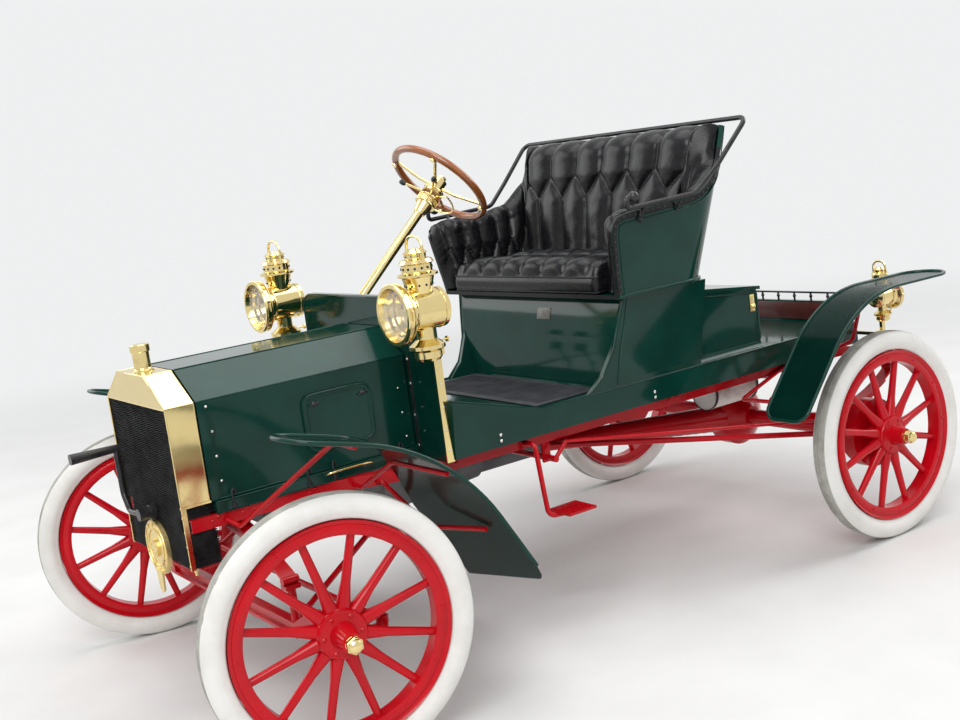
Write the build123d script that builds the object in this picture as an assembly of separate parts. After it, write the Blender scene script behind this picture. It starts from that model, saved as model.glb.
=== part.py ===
from build123d import *
import math
import os

os.makedirs("parts", exist_ok=True)

# Light open runabout with wooden wheels, in mm. +X is the car's left, the front
# faces -Y and +Z is up from the ground. Y is written from the front axle here.
wheelbase = 2134.0
track = 1422.0
steer_now = -11.0  # the road wheels stand turned to the car's right, in degrees

# Wheels and tyres
tyre_r = 355.6
tyre_w = 76.0
tyre_flats = 64
rim_r = 286.0
felloe_depth = 36.0
felloe_w = 42.0
spoke_count = 12
spoke_tip_r = 10.5
spoke_mid_r = 12.5
spoke_root_r = 20.0
spoke_flare = 62.0
hub_flange_r = 66.0
hub_flange_gap = 40.0
hub_flange_t = 6.0
hub_barrel_r = 30.0
hub_back = 28.0
front_hub_len = 98.0
rear_hub_len = 74.0
hub_bore_r = 14.3
cap_r = 23.0
cap_len = 36.0
drum_r = 118.0
drum_w = 46.0

# Steered ends
kingpin_x = 650.0
kingpin_r = 9.0
eye_r = 17.0
eye_h = 58.0
ear_t = 13.0
run_gap = 0.3
spindle_r = 14.0
arm_len = 130.0
arm_t = 12.0
tie_r = 9.0
tie_eye_r = 17.0
tie_eye_h = 20.0
joint_pin_r = 7.0

# Frame
rail_z0 = 568.0
rail_h = 36.0
rail_w = 38.0
rail_t = 4.0
rail_x_front = 232.0
rail_x_rear = 352.0
rail_nose_y = -170.0
rail_neck_y = 250.0
rail_wide_y = 560.0
rail_tail_y = 2330.0
cross_w = 46.0

# Radiator
rad_face_y = -189.0
rad_back_y = -106.0
rad_half = 229.0
rad_skin = 6.0
rad_side_z0 = 650.0
rad_bottom_z = 466.0
hood_crease_z = 918.0
hood_top_z = 1000.0
hood_flat_half = 105.0
strip_depth = 13.0
neck_r = 24.0
neck_h = 56.0
filler_cap_r = 28.0
filler_cap_h = 18.0

# Engine and gear case
flywheel_r = 120.0
flywheel_z = 530.0
flywheel_y = (495.0, 555.0)
gear_case_z = 480.0
gear_case_r = 84.0
tail_shaft_r = 34.0
torque_tube_r = 26.0

# Hood and dash
hood_t = 4.0
hood_gap = 6.0
hood_bottom_z = 640.0
dash_y = 566.0
dash_t = 22.0
dash_half = 390.0
dash_top_z = 1092.0
dash_r = 55.0
edging_t = 5.0

# Body tub
tub_half = 400.0
upper_half = 372.0
sill_z0 = 608.0
floor_z = 685.0
dash_sill_z = 782.0
toe_y = 928.0
wall = 18.0
riser_y = 1213.0
riser_top_z = 978.0
box_front_y = 1632.0
box_rear_y = 1920.0
box_front_z = 922.0
box_rear_z = 888.0
deck_tail_y = 2400.0
cove = 26.0
lid_t = 12.0
tail_board_h = 78.0
gallery_h = 34.0

# Seat
seat_top_z = 1462.0
seat_half_low = 480.0
seat_half_top = 562.0
seat_front_low = 1200.0
seat_front_top = 1150.0
seat_rear_low = 1612.0
seat_rear_top = 1722.0
shell_t = 14.0
arm_top_z = 1238.0
pad_arm = 62.0
pad_back = 110.0
cushion_top_z = 1096.0
cushion_front_y = 1186.0
soft_gap = 0.4
iron_r = 8.0

# Fenders
fender_t = 4.0
bead_r = 6.0
front_fender_path = [(-150.0, 884.0), (331.0, 758.0), (580.0, 332.0)]
front_fender_bend = 620.0
front_fender_x = (400.0, 784.0)
front_apron = [(610.0, 1000.0), (610.0, 790.0), (492.0, 705.0), (418.0, 560.0), (400.0, 400.0)]
rear_fender_path = [(1650.0, 512.0), (1959.0, 868.0), (2420.0, 866.0)]
rear_fender_bend = 450.0
rear_fender_x = (610.0, 778.0)
stay_r = 7.0

# Running gear
radius_rod_r = 9.0
radius_rod_end = (24.0, 540.0)
radius_rod_x = 380.0
brake_shaft = (962.0, 516.0)
brake_shaft_r = 10.0
brake_rod_r = 5.0
brake_lever = (1010.0, 562.0)
brake_arm = (2030.0, 420.0)
torque_end = (0.0, 1180.0, 464.0)
axle_drop_z = 292.0
axle_h = 42.0
axle_d = 30.0
perch_x = 430.0
perch_z = 428.0
rear_tube_r = 29.0
diff_r = 112.0
plate_x = 598.0
leaf_t = 6.5
leaf_w = 44.0
spring_eye_r = 11.0
rear_spring_x = 500.0
rear_pack_low_z = 398.0
rear_pack_top_z = 640.0
rear_spring_half = 300.0
muffler_x = 200.0
muffler_z = 530.0
muffler_r = 62.0
muffler_y = (1790.0, 2000.0)
pipe_r = 16.0
pipe_z = 545.0

# Steering column
column_x = -262.0
column_r = 16.0
column_bore_r = 12.5
column_low = (214.0, 590.0)
column_tilt = 42.5
wheel_hub_y = 1088.0
hand_rim_r = 178.0
hand_rim_section = 13.0
ball_r = 10.0

# Lamps
lamp_x = 446.0
lamp_y = 516.0
lamp_base_z = 925.0
lamp_eye_z = 1068.0
lamp_bezel_r = 88.0
lamp_body_r = 57.0
tail_lamp = (500.0, 2425.0, 690.0)
tail_scale = 0.62

# Starting crank
crank_z = 600.0
crank_y = -222.0
crank_shaft_r = 18.0
crank_handle_x = -135.0
crank_handle_z = 776.0

nose_y = (tyre_r - tyre_w / 2) * math.cos(math.radians(steer_now)) + tyre_w / 2
nose_y += (track / 2 - kingpin_x) * abs(math.sin(math.radians(steer_now)))
mid_y = (wheelbase + tyre_r - nose_y) / 2
seat_z = riser_top_z + run_gap


def save(name, *pieces):
    """Write one node, moved so that Y starts at the middle of the car's length."""
    solids = [s for piece in pieces for s in piece.solids()]
    export_step(Pos(0, -mid_y, 0) * Compound(children=solids), f"parts/{name}.step")


def both(piece):
    """A piece and its mirror image across the car's middle."""
    return [piece, mirror(piece, Plane.YZ)]


def side_plate(points, x0, x1, radius=0.0):
    """A flat plate drawn from the side in (y, z) and reaching from x0 to x1."""
    if radius:
        outline = make_face(FilletPolyline(*points, radius=radius, close=True))
    else:
        outline = make_face(Polyline(*points, close=True))
    return extrude(Plane.YZ.offset(x0) * outline, x1 - x0)


def front_plate(points, y0, y1):
    """A flat plate drawn from the front in (x, z) and reaching from y0 to y1."""
    outline = make_face(Polyline(*points, close=True))
    return extrude(Plane.XZ.offset(-y1) * outline, y1 - y0)


def box(x0, x1, y0, y1, z0, z1):
    """A block between two corners."""
    return Pos((x0 + x1) / 2, (y0 + y1) / 2, (z0 + z1) / 2) * Box(x1 - x0, y1 - y0, z1 - z0)


def rod(start, end, radius, end_radius=None):
    """A round bar, tapered when the end radius is given."""
    start, end = Vector(*start), Vector(*end)
    length = (end - start).length
    place = Plane(origin=start, z_dir=end - start).location * Pos(0, 0, length / 2)
    if end_radius is None:
        return place * Cylinder(radius, length)
    return place * Cone(radius, end_radius, length)


def bent_rod(points, radius, bend):
    """A round bar through points, with arcs of radius bend at the corners."""
    path = FilletPolyline(*points, radius=bend)
    return sweep(Plane(origin=path @ 0, z_dir=path % 0) * Circle(radius), path=path)


def turned(profile):
    """A body of revolution about X from (x, radius) points."""
    return revolve(Plane.XZ * make_face(Polyline(*profile, close=True)), Axis.X)


# Frame: two pressed rails, narrow at the radiator and wide under the body
def rail_plan(inset):
    outer = [(rail_x_front, rail_nose_y), (rail_x_front, rail_neck_y)]
    outer += [(rail_x_rear, rail_wide_y), (rail_x_rear, rail_tail_y)]
    inner = [(x - rail_w, y) for x, y in reversed(outer)]
    face = make_face(Polyline(*(outer + inner), close=True))
    return Pos(-inset, 0, 0) * face


rail = Pos(0, 0, rail_z0) * extrude(rail_plan(0), rail_h)
rail -= Pos(0, 0, rail_z0 + rail_t) * extrude(rail_plan(rail_t), rail_h - 2 * rail_t)
cross_bars = [
    # y, half width
    (0.0, rail_x_front - rail_t),
    (rail_wide_y + 60.0, rail_x_rear - rail_t),
    (1500.0, rail_x_rear - rail_t),
    (wheelbase, rail_x_rear - rail_t),
]
frame = rail + mirror(rail, Plane.YZ)
for y, half in cross_bars:
    frame += box(-half, half, y - cross_w / 2, y + cross_w / 2, rail_z0, rail_z0 + rail_h)
outrigger = side_plate(
    [
        (wheelbase - 30, rail_z0), (wheelbase + 30, rail_z0),
        (wheelbase + 30, rail_z0 + 24), (wheelbase - 30, rail_z0 + 24),
    ],
    rail_x_rear - rail_t,
    rear_spring_x - 60,
)
arch = front_plate(
    [
        (rear_spring_x - 70, rail_z0),
        (rear_spring_x - 25, rear_pack_top_z + 3),
        (rear_spring_x + 28, rear_pack_top_z + 3),
        (rear_spring_x + 28, rear_pack_top_z + 17),
        (rear_spring_x - 35, rear_pack_top_z + 17),
        (rear_spring_x - 85, rail_z0 + 24),
        (rear_spring_x - 85, rail_z0),
    ],
    wheelbase - 30,
    wheelbase + 30,
)
for piece in both(outrigger + arch):
    frame += piece
frame -= rod((0, -cross_w, crank_z), (0, cross_w, crank_z), crank_shaft_r + 1)
save("frame", frame)

# Radiator: a finned core with a brass tank and brass side plates
core = box(
    -rad_half + rad_skin + run_gap, rad_half - rad_skin - run_gap, rad_face_y + 4, rad_back_y + 12,
    rad_bottom_z, hood_crease_z - 4,
)
for side in (-1, 1):
    x0, x1 = sorted((side * (rail_x_front - rail_w - run_gap), side * (rad_half + 1)))
    core -= box(x0, x1, rail_nose_y - 1, rad_back_y + 20, rail_z0 - 1, rail_z0 + rail_h + run_gap)
save("radiator_core", core)

tank_outline = [
    (-rad_half, rad_side_z0 - 4), (-rad_half, hood_crease_z), (-hood_flat_half, hood_top_z),
    (hood_flat_half, hood_top_z), (rad_half, hood_crease_z), (rad_half, rad_side_z0 - 4),
    (rad_half - rad_skin, rad_side_z0 - 4), (rad_half - rad_skin, hood_crease_z - 3),
    (-rad_half + rad_skin, hood_crease_z - 3), (-rad_half + rad_skin, rad_side_z0 - 4),
]
shell = front_plate(tank_outline, rad_face_y, rad_back_y)
for side in (-1, 1):
    x0, x1 = sorted((side * rad_half, side * (rad_half - rad_skin)))
    shell += box(x0, x1, rad_face_y, rad_face_y + strip_depth, rad_bottom_z, rad_side_z0)
    x0, x1 = sorted((side * (rad_half + 4), side * (rad_half - rad_skin)))
    shell += box(x0, x1, rad_face_y - 2, rad_back_y + 2, rad_side_z0 - 10, rad_side_z0 - 4)
rad_mid_y = (rad_face_y + rad_back_y) / 2
shell += Pos(0, rad_mid_y, hood_top_z + neck_h / 2 - 2) * Cylinder(neck_r, neck_h + 4)
shell += Pos(0, rad_mid_y, hood_top_z + neck_h + filler_cap_h / 2) * Cylinder(filler_cap_r, filler_cap_h)
save("radiator_shell", shell)

# Hood: one folded cover that lifts off
hood_front_y = rad_back_y + hood_gap
hood_rear_y = dash_y - hood_gap


def hood_section(inset):
    half = rad_half - inset
    slope = (hood_top_z - hood_crease_z) / (rad_half - hood_flat_half)
    shift = inset * math.tan(math.atan(slope) / 2)
    flat = hood_flat_half - shift
    return [
        (-half, hood_bottom_z), (-half, hood_crease_z - shift), (-flat, hood_top_z - inset),
        (flat, hood_top_z - inset), (half, hood_crease_z - shift), (half, hood_bottom_z),
    ]


hood = front_plate(hood_section(0), hood_front_y, hood_rear_y)
hood -= front_plate(hood_section(hood_t), hood_front_y - 1, hood_rear_y + 1)
panel_edge = [(205.0, 700.0), (205.0, 868.0), (432.0, 868.0), (432.0, 700.0)]
for piece in both(side_plate(panel_edge, rad_half - 1, rad_half + 7, radius=30)):
    hood += piece
save("hood", hood)

# Sill ledges that carry the hood, between the frame rail and the hood's edge
ledge = []
for side in (-1, 1):
    x0, x1 = sorted((side * (rail_x_front - rail_w), side * (rail_x_front + 6)))
    ledge.append(box(x0, x1, rad_back_y + 13, dash_y - run_gap, rail_z0 + rail_h, hood_bottom_z - run_gap))
save("hood_ledges", *ledge)

# Engine: one plain block on the frame, behind the radiator
engine = box(-110, 110, 90, 500, 500, 880)
engine += rod((0, rad_back_y + 20, crank_z), (0, 95, crank_z), crank_shaft_r)
engine += rod((0, flywheel_y[0], flywheel_z), (0, flywheel_y[1], flywheel_z), flywheel_r)
engine += rod((0, flywheel_y[1] - 5, gear_case_z), (0, 900, gear_case_z), gear_case_r, 60)
tube_tilt = math.atan2(torque_end[2] - tyre_r, wheelbase - 60 - torque_end[1])
tail_end_y = torque_end[1] - torque_tube_r * math.sin(tube_tilt) - run_gap
engine += rod((0, 895, torque_end[2]), (0, tail_end_y, torque_end[2]), tail_shaft_r)
for y in (160, 440):
    engine += box(-rail_x_front + rail_w + run_gap, rail_x_front - rail_w - run_gap, y - 20, y + 20, 575, 600)
save("engine_block", engine)

# Dash: a painted board with brass edging down both sides
dash_foot_z = rail_z0 + rail_h + run_gap
dash_outline = FilletPolyline(
    (-dash_half, dash_foot_z), (-dash_half, dash_top_z), (dash_half, dash_top_z), (dash_half, dash_foot_z),
    radius=(dash_r, dash_r),
)
dash_face = make_face(dash_outline + Line(dash_outline @ 1, dash_outline @ 0))
dash = extrude(Plane.XZ.offset(-(dash_y + dash_t)) * dash_face, dash_t)
column_dir = Vector(0, math.cos(math.radians(column_tilt)), math.sin(math.radians(column_tilt)))
column_foot = Vector(column_x, *column_low)
column_top = column_foot + column_dir * ((wheel_hub_y - column_low[0]) / column_dir.Y)
dash -= rod(column_foot, column_top, column_r + run_gap)
save("dash_board", dash)
edging = []
for side in (-1, 1):
    x0, x1 = sorted((side * (dash_half + run_gap), side * (dash_half + run_gap + edging_t)))
    edging.append(box(x0, x1, dash_y - 4, dash_y + dash_t, dash_foot_z, lamp_base_z - 4))
save("dash_edging", *edging)

# Body tub: sill and floor, seat box, rear box and rear deck
tub_front_y = dash_y + dash_t + run_gap
sill_top = [
    (tub_front_y, sill_z0), (deck_tail_y, sill_z0), (deck_tail_y, floor_z), (toe_y, floor_z),
    (tub_front_y, dash_sill_z),
]
tub = side_plate(sill_top, -tub_half, tub_half)
hollow_top = [
    (tub_front_y + wall, sill_z0 - 1), (deck_tail_y - wall, sill_z0 - 1),
    (deck_tail_y - wall, floor_z - wall), (toe_y, floor_z - wall),
    (tub_front_y + wall, dash_sill_z - 1.4 * wall),
]
tub -= side_plate(hollow_top, -tub_half + wall, tub_half - wall)

seat_box_outline = [
    (riser_y - 110, floor_z - 4), (box_rear_y, floor_z - 4), (box_rear_y, box_rear_z),
    (box_front_y, box_front_z), (box_front_y - 20, riser_top_z), (riser_y + 28, riser_top_z),
    (riser_y - 6, 820.0), (riser_y - 50, 735.0),
]
seat_box = side_plate(seat_box_outline, -upper_half, upper_half)
inner_box = [
    (riser_y + wall, floor_z), (box_rear_y - wall, floor_z), (box_rear_y - wall, box_rear_z - wall),
    (box_front_y, box_front_z - wall), (box_front_y - 40, riser_top_z - wall),
    (riser_y + wall, riser_top_z - wall),
]
seat_box -= side_plate(inner_box, -upper_half + wall, upper_half - wall)
foot_well = box(-upper_half + wall, upper_half - wall, riser_y - 200, riser_y, floor_z, riser_top_z + 1)
seat_box -= foot_well
lid_y = (box_front_y + 24, box_rear_y - 24)
seat_box -= box(-upper_half + 40, upper_half - 40, lid_y[0], lid_y[1], 800, box_front_z + 60)
tub += seat_box
cove_face = Plane.XZ * (
    Pos(upper_half - 1, floor_z - 6) * Rectangle(cove + 1, cove + 6, align=(Align.MIN, Align.MIN))
    - Pos(upper_half + cove, floor_z + cove) * Circle(cove)
)
cove_bar = Pos(0, box_rear_y, 0) * extrude(cove_face, box_rear_y - riser_y + 60)
for piece in both(cove_bar):
    tub += piece
tail = box(
    -tub_half + 25, tub_half - 25, deck_tail_y - wall, deck_tail_y, floor_z - 4, floor_z + tail_board_h,
)
tub += tail
save("body_tub", tub)

# Rear box lid, hinged at the seat side
lid_slope = (box_front_z - box_rear_z) / (box_rear_y - box_front_y)


def box_top(y, rise=0.0):
    return box_front_z - (y - box_front_y) * lid_slope + rise


lid_ends = (box_front_y + 22, box_rear_y + 14)
lid_outline = [
    (lid_ends[0], box_top(lid_ends[0], run_gap)), (lid_ends[1], box_top(lid_ends[1], run_gap)),
    (lid_ends[1], box_top(lid_ends[1], lid_t)), (lid_ends[0], box_top(lid_ends[0], lid_t)),
]
lid = side_plate(lid_outline, -upper_half - 6, upper_half + 6)
save("box_lid", lid)

# Gallery rail on the tail board
gallery = box(
    -tub_half + 30, tub_half - 30, deck_tail_y - 14, deck_tail_y - 4,
    floor_z + tail_board_h + gallery_h - 6, floor_z + tail_board_h + gallery_h,
)
post_gap = (2 * tub_half - 72) / 9
for i in range(10):
    x = -tub_half + 36 + i * post_gap
    gallery += Pos(x, deck_tail_y - 9, floor_z + tail_board_h + gallery_h / 2) * Cylinder(4, gallery_h)
save("gallery_rail", gallery)


# Seat shell: a flared tub with its front open and its arms cut low
def seat_block(inset, z0, z1):
    """The flared seat form between two heights, taken in by inset."""
    def level(z):
        t = (z - seat_z) / (seat_top_z - seat_z)
        half = seat_half_low + t * (seat_half_top - seat_half_low) - inset
        front = seat_front_low + t * (seat_front_top - seat_front_low) - 400
        rear = seat_rear_low + t * (seat_rear_top - seat_rear_low) - inset
        radius = 70 - inset * 0.3
        shape = RectangleRounded(2 * half, rear - front, radius)
        return Pos(0, (rear + front) / 2, z) * shape

    return loft([level(z0), level(z1)])


arm_curve = [
    (seat_front_low - 600, seat_z - 50), (seat_front_low, seat_z - 50), (seat_front_low - 14, arm_top_z - 60),
    (seat_front_low + 30, arm_top_z), (1500.0, arm_top_z + 14), (1560.0, 1285.0), (1702.0, seat_top_z),
    (1900.0, seat_top_z), (1900.0, seat_z - 50), (2100.0, seat_z - 50), (2100.0, 1700.0),
    (seat_front_low - 600, 1700.0),
]
arm_radii = (0, 0, 42, 60, 70, 0, 0, 0, 0, 0)
keep_out = side_plate(arm_curve, -700, 700)
seat_shell = seat_block(0, seat_z, seat_top_z) - seat_block(shell_t, seat_z + shell_t, seat_top_z + 60)
seat_shell -= keep_out
save("seat_shell", seat_shell)

# Seat upholstery: padded arms and back in one band, and a separate cushion
seat_floor_z = seat_z + shell_t
band_outer = seat_block(shell_t + soft_gap, seat_floor_z + soft_gap, seat_top_z)
back_front_low = seat_rear_low - shell_t - pad_back
core_cut = seat_block(shell_t + pad_arm, seat_floor_z - 40, seat_top_z + 60)
back_keep = side_plate(
    [
        (back_front_low, seat_z - 60), (back_front_low + 105, seat_top_z + 80),
        (300.0, seat_top_z + 80), (300.0, seat_z - 60),
    ],
    -700, 700,
)
seat_back = band_outer - (core_cut & back_keep)
seat_back -= keep_out
save("seat_back", seat_back)
cushion = box(
    -seat_half_low + shell_t + pad_arm + 3, seat_half_low - shell_t - pad_arm - 3, cushion_front_y,
    back_front_low - 3, seat_floor_z + soft_gap, cushion_top_z,
)
cushion = fillet(cushion.edges().filter_by(Axis.X).group_by(Axis.Z)[-1], 30)
save("seat_cushion", cushion)

# Arm iron: one black bar round the seat's edge, with a ball at each front end
iron_side = [
    (556.0, 1242.0, 1288.0), (556.0, 1212.0, 1288.0), (556.0, 1212.0, 1254.0), (556.0, 1500.0, 1268.0),
    (574.0, 1590.0, 1345.0), (588.0, 1724.0, 1480.0),
]
iron_path = iron_side + [(-x, y, z) for x, y, z in reversed(iron_side)]
iron_bends = [14, 14, 60, 60, 30, 30, 60, 60, 14, 14]
iron = bent_rod(iron_path, iron_r, iron_bends)
for side in (-1, 1):
    iron += Pos(side * 556, 1242, 1288) * Sphere(17)
    flare = (seat_half_top - seat_half_low) / (seat_top_z - seat_z)
    face_x = seat_half_low + (arm_top_z - 16 - seat_z) * flare
    for y in (1290.0, 1440.0):
        iron += rod((side * (face_x + 3.9), y, arm_top_z - 16), (side * 556, y, 1262), 4)
    iron += rod((side * 320, 1716, seat_top_z + 2), (side * 320, 1724, 1480), 4)
save("arm_iron", iron)


# Fenders: a curved sheet with a rolled bead along both edges
def fender(path_points, bend, x0, x1):
    path = Plane.YZ * FilletPolyline(*path_points, radius=bend)
    start = Plane(origin=path @ 0, x_dir=(1, 0, 0), z_dir=path % 0)
    strip = start * (Pos((x0 + x1) / 2, 0) * Rectangle(x1 - x0, fender_t))
    sheet = sweep(strip, path=path)
    for x in (x0, x1):
        bead = start * (Pos(x, 0) * Circle(bead_r))
        sheet += sweep(bead, path=path)
    return sheet


front_fender = fender(front_fender_path, front_fender_bend, *front_fender_x)
apron_cut = [(x, z) for x, z in front_apron] + [(300.0, 400.0), (300.0, 1000.0)]
front_fender -= front_plate(apron_cut, -200, 700)
save("front_fenders", *both(front_fender))
rear_fender = fender(rear_fender_path, rear_fender_bend, *rear_fender_x)
save("rear_fenders", *both(rear_fender))

# Fender stays: round irons bolted to the rails, their ends close under the sheets
def under_sheet(points, bend, y):
    """Height of a stay's centre just under a fender's sheet at a given Y."""
    path = FilletPolyline(*points, radius=bend)
    low, high = 0.0, 1.0
    for _ in range(30):
        middle = (low + high) / 2
        if (path @ middle).X < y:
            low = middle
        else:
            high = middle
    return (path @ low).Y - (fender_t / 2 + stay_r + run_gap) / abs((path % low).X)


front_under = [under_sheet(front_fender_path, front_fender_bend, y) for y in (77, 327, 486)]
rear_under = [under_sheet(rear_fender_path, rear_fender_bend, y) for y in (2180, 1700)]
stay_routes = [
    # points outward from the frame on the left side, corner radii
    (
        [
            (rail_x_front + 3.6, -71, 584), (282, -52, 566), (600, 77, 788),
            (650, 77, front_under[0]), (770, 77, front_under[0]),
        ],
        (20, 60, 30),
    ),
    ([(rail_x_front + 31, 320, 583), (310, 318, 583), (560, 287, 699), (765, 327, front_under[1])], (20, 60)),
    (
        [(rail_x_rear + run_gap, 575, 586), (378, 575, 586), (386, 500, 425), (668, 486, front_under[2])],
        (16, 30),
    ),
    (
        [
            (rear_spring_x + 32, 2134, 648), (600, 2129, 679), (604, 2168, 777),
            (650, 2180, rear_under[0]), (765, 2180, rear_under[0]),
        ],
        (25, 40, 20),
    ),
    (
        [
            (rail_x_rear + 7.3, 2049, 590), (rail_x_rear + 14, 1807, 518),
            (640, 1700, rear_under[1]), (765, 1700, rear_under[1]),
        ],
        (30, 60),
    ),
]
stays = []
for points, bends in stay_routes:
    stays += both(bent_rod(points, stay_r, bends))
save("fender_stays", *stays)

# Steps: a plate on a bent hanger, one each side
step_x = (385.0, 490.0)
step_y = (908.0, 1015.0)
step_z = 370.0
step_plate = box(*step_x, *step_y, step_z - 8, step_z)
hanger = bent_rod(
    [
        (rail_x_rear + 1, 868, 588), (405, 872, 588), (405, 885, 430),
        (415, 885, step_z - 13), (440, 985, step_z - 13),
    ],
    8, (20, 60, 24),
)
save("steps", *both(step_plate + hanger))

# Front axle: a dropped beam with an eye for each kingpin
beam_half = axle_h / 2
axle_outline = [
    (-kingpin_x, tyre_r - 20), (-560, tyre_r - 28),
    (-450, axle_drop_z - beam_half), (450, axle_drop_z - beam_half),
    (560, tyre_r - 28), (kingpin_x, tyre_r - 20), (kingpin_x, tyre_r + 20), (550, tyre_r + 14),
    (440, axle_drop_z + beam_half), (-440, axle_drop_z + beam_half),
    (-550, tyre_r + 14), (-kingpin_x, tyre_r + 20),
]
front_axle = front_plate(axle_outline, -axle_d / 2, axle_d / 2)
web_cut = box(-420, 420, 6, 40, axle_drop_z - 12, axle_drop_z + 12)
front_axle -= web_cut
front_axle -= mirror(web_cut, Plane.XZ)
for side in (-1, 1):
    front_axle += Pos(side * kingpin_x, 0, tyre_r) * Cylinder(eye_r, eye_h)
    front_axle -= Pos(side * kingpin_x, 0, tyre_r) * Cylinder(kingpin_r + run_gap, eye_h + 2)
    perch_top = perch_z - spring_eye_r - run_gap
    front_axle += rod((side * perch_x, 0, axle_drop_z + 15), (side * perch_x, 0, perch_top - 8), 12)
    pad_x = side * perch_x
    front_axle += box(pad_x - 16, pad_x + 16, -leaf_w / 2, leaf_w / 2, perch_top - 12, perch_top)
    front_axle += box(
        side * radius_rod_x - 14, side * radius_rod_x + 14, axle_d / 2 - 9, axle_d / 2 + 10,
        axle_drop_z - 14, axle_drop_z + 8,
    )
save("front_axle", front_axle)


# Springs: packs of curved leaves
def leaf_pack(half, rise, count, flip):
    """Leaves in a side view about (0, 0) at the pack's middle, ends up when flip is 1."""
    radius = (half * half + rise * rise) / (2 * rise)
    pack = None
    for i in range(count):
        angle = math.asin(half / radius) * (1 - 0.8 * i / count)
        r0, r1 = radius + i * leaf_t, radius + (i + 1) * leaf_t
        pts = []
        for r, a in ((r0, -angle), (r0, 0), (r0, angle), (r1, angle), (r1, 0), (r1, -angle)):
            pts.append((r * math.sin(a), flip * (radius - r * math.cos(a))))
        face = make_face([
            ThreePointArc(pts[0], pts[1], pts[2]), Line(pts[2], pts[3]),
            ThreePointArc(pts[3], pts[4], pts[5]), Line(pts[5], pts[0]),
        ])
        leaf = extrude(face, leaf_w / 2, both=True)
        pack = leaf if pack is None else pack + leaf
    return pack


springs = []
front_rise = rail_z0 - 40 - perch_z
front_pack = Pos(0, 0, perch_z + front_rise) * Rot(90, 0, 0) * leaf_pack(perch_x, front_rise, 5, -1)
front_pack += box(-34, 34, -leaf_w / 2, leaf_w / 2, perch_z + front_rise - 4, rail_z0 - run_gap)
for side in (-1, 1):
    front_pack += rod((side * perch_x, -24, perch_z), (side * perch_x, 24, perch_z), spring_eye_r)
springs.append(front_pack)
rear_mid_z = (rear_pack_low_z + rear_pack_top_z) / 2
rear_rise = (rear_pack_top_z - rear_pack_low_z) / 2 - 4 * leaf_t
side_turn = Plane.YZ.location
for side in (-1, 1):
    low_place = Pos(side * rear_spring_x, wheelbase, rear_mid_z - rear_rise) * side_turn
    top_place = Pos(side * rear_spring_x, wheelbase, rear_mid_z + rear_rise) * side_turn
    pair = low_place * leaf_pack(rear_spring_half, rear_rise, 4, 1)
    pair += top_place * leaf_pack(rear_spring_half, rear_rise, 4, -1)
    for end in (-1, 1):
        y = wheelbase + end * rear_spring_half
        eye_x = side * rear_spring_x
        pair += rod((eye_x - 24, y, rear_mid_z), (eye_x + 24, y, rear_mid_z), 12)
    springs.append(pair)
save("springs", *springs)

# Rear axle: tube, differential housing and torque tube
rear_axle = rod((-600, wheelbase, tyre_r), (600, wheelbase, tyre_r), rear_tube_r)
diff = turned([(-92, 0), (-92, 40), (-55, 85), (-30, diff_r), (30, diff_r), (55, 85), (92, 40), (92, 0)])
rear_axle += Pos(0, wheelbase, tyre_r) * diff
rear_axle += rod((0, wheelbase - 60, tyre_r), torque_end, 52, torque_tube_r)
for side in (-1, 1):
    seat = box(
        side * rear_spring_x - 24, side * rear_spring_x + 24, wheelbase - 40, wheelbase + 40,
        tyre_r, rear_mid_z - rear_rise - 4 * leaf_t - run_gap,
    )
    rear_axle += seat
    strut_end = (side * 18, torque_end[1] + 10, torque_end[2] - 4)
    rear_axle += rod((side * 560, wheelbase, tyre_r - 10), strut_end, 10)
    plate_end = side * (plate_x + 8)
    rear_axle += rod((side * plate_x, wheelbase, tyre_r), (plate_end, wheelbase, tyre_r), drum_r - 10)
    spindle_end = side * (track / 2 + rear_hub_len - 6)
    rear_axle += rod((side * 600, wheelbase, tyre_r), (spindle_end, wheelbase, tyre_r), spindle_r)
save("rear_axle", rear_axle)

# Front radius rods, from the axle back to the engine's underside
radius_rods = []
for side in (-1, 1):
    start = (side * radius_rod_x, 0, axle_drop_z - 14)
    under_case = flywheel_z - math.sqrt(flywheel_r**2 - radius_rod_end[0] ** 2)
    end = (side * radius_rod_end[0], radius_rod_end[1], under_case - radius_rod_r * 1.02 - run_gap)
    radius_rods.append(rod(start, end, radius_rod_r) - box(-600, 600, -60, axle_d / 2 + 10 + run_gap, 0, 600))
save("radius_rods", *radius_rods)

# Brake gear: a cross shaft on two hangers, with levers and a rod to each rear drum
shaft_end = rail_x_rear + 34
shaft_y, shaft_z = brake_shaft
brake_gear = rod((-shaft_end, shaft_y, shaft_z), (shaft_end, shaft_y, shaft_z), brake_shaft_r)
for side in (-1, 1):
    x0, x1 = sorted((side * (rail_x_rear - 22), side * (rail_x_rear - 12)))
    brake_gear += box(x0, x1, shaft_y - 14, shaft_y + 14, shaft_z - 14, rail_z0 - run_gap)
    lever_x = side * (shaft_end - 6)
    brake_gear += rod((lever_x, shaft_y, shaft_z), (lever_x, *brake_lever), 7)
    arm_x = side * (plate_x - run_gap - 6)
    brake_gear += rod((lever_x, *brake_lever), (arm_x, *brake_arm), brake_rod_r)
    brake_gear += rod((arm_x, *brake_arm), (arm_x, brake_arm[0] + 50, brake_arm[1] - 52), 6)
save("brake_gear", brake_gear)

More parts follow.
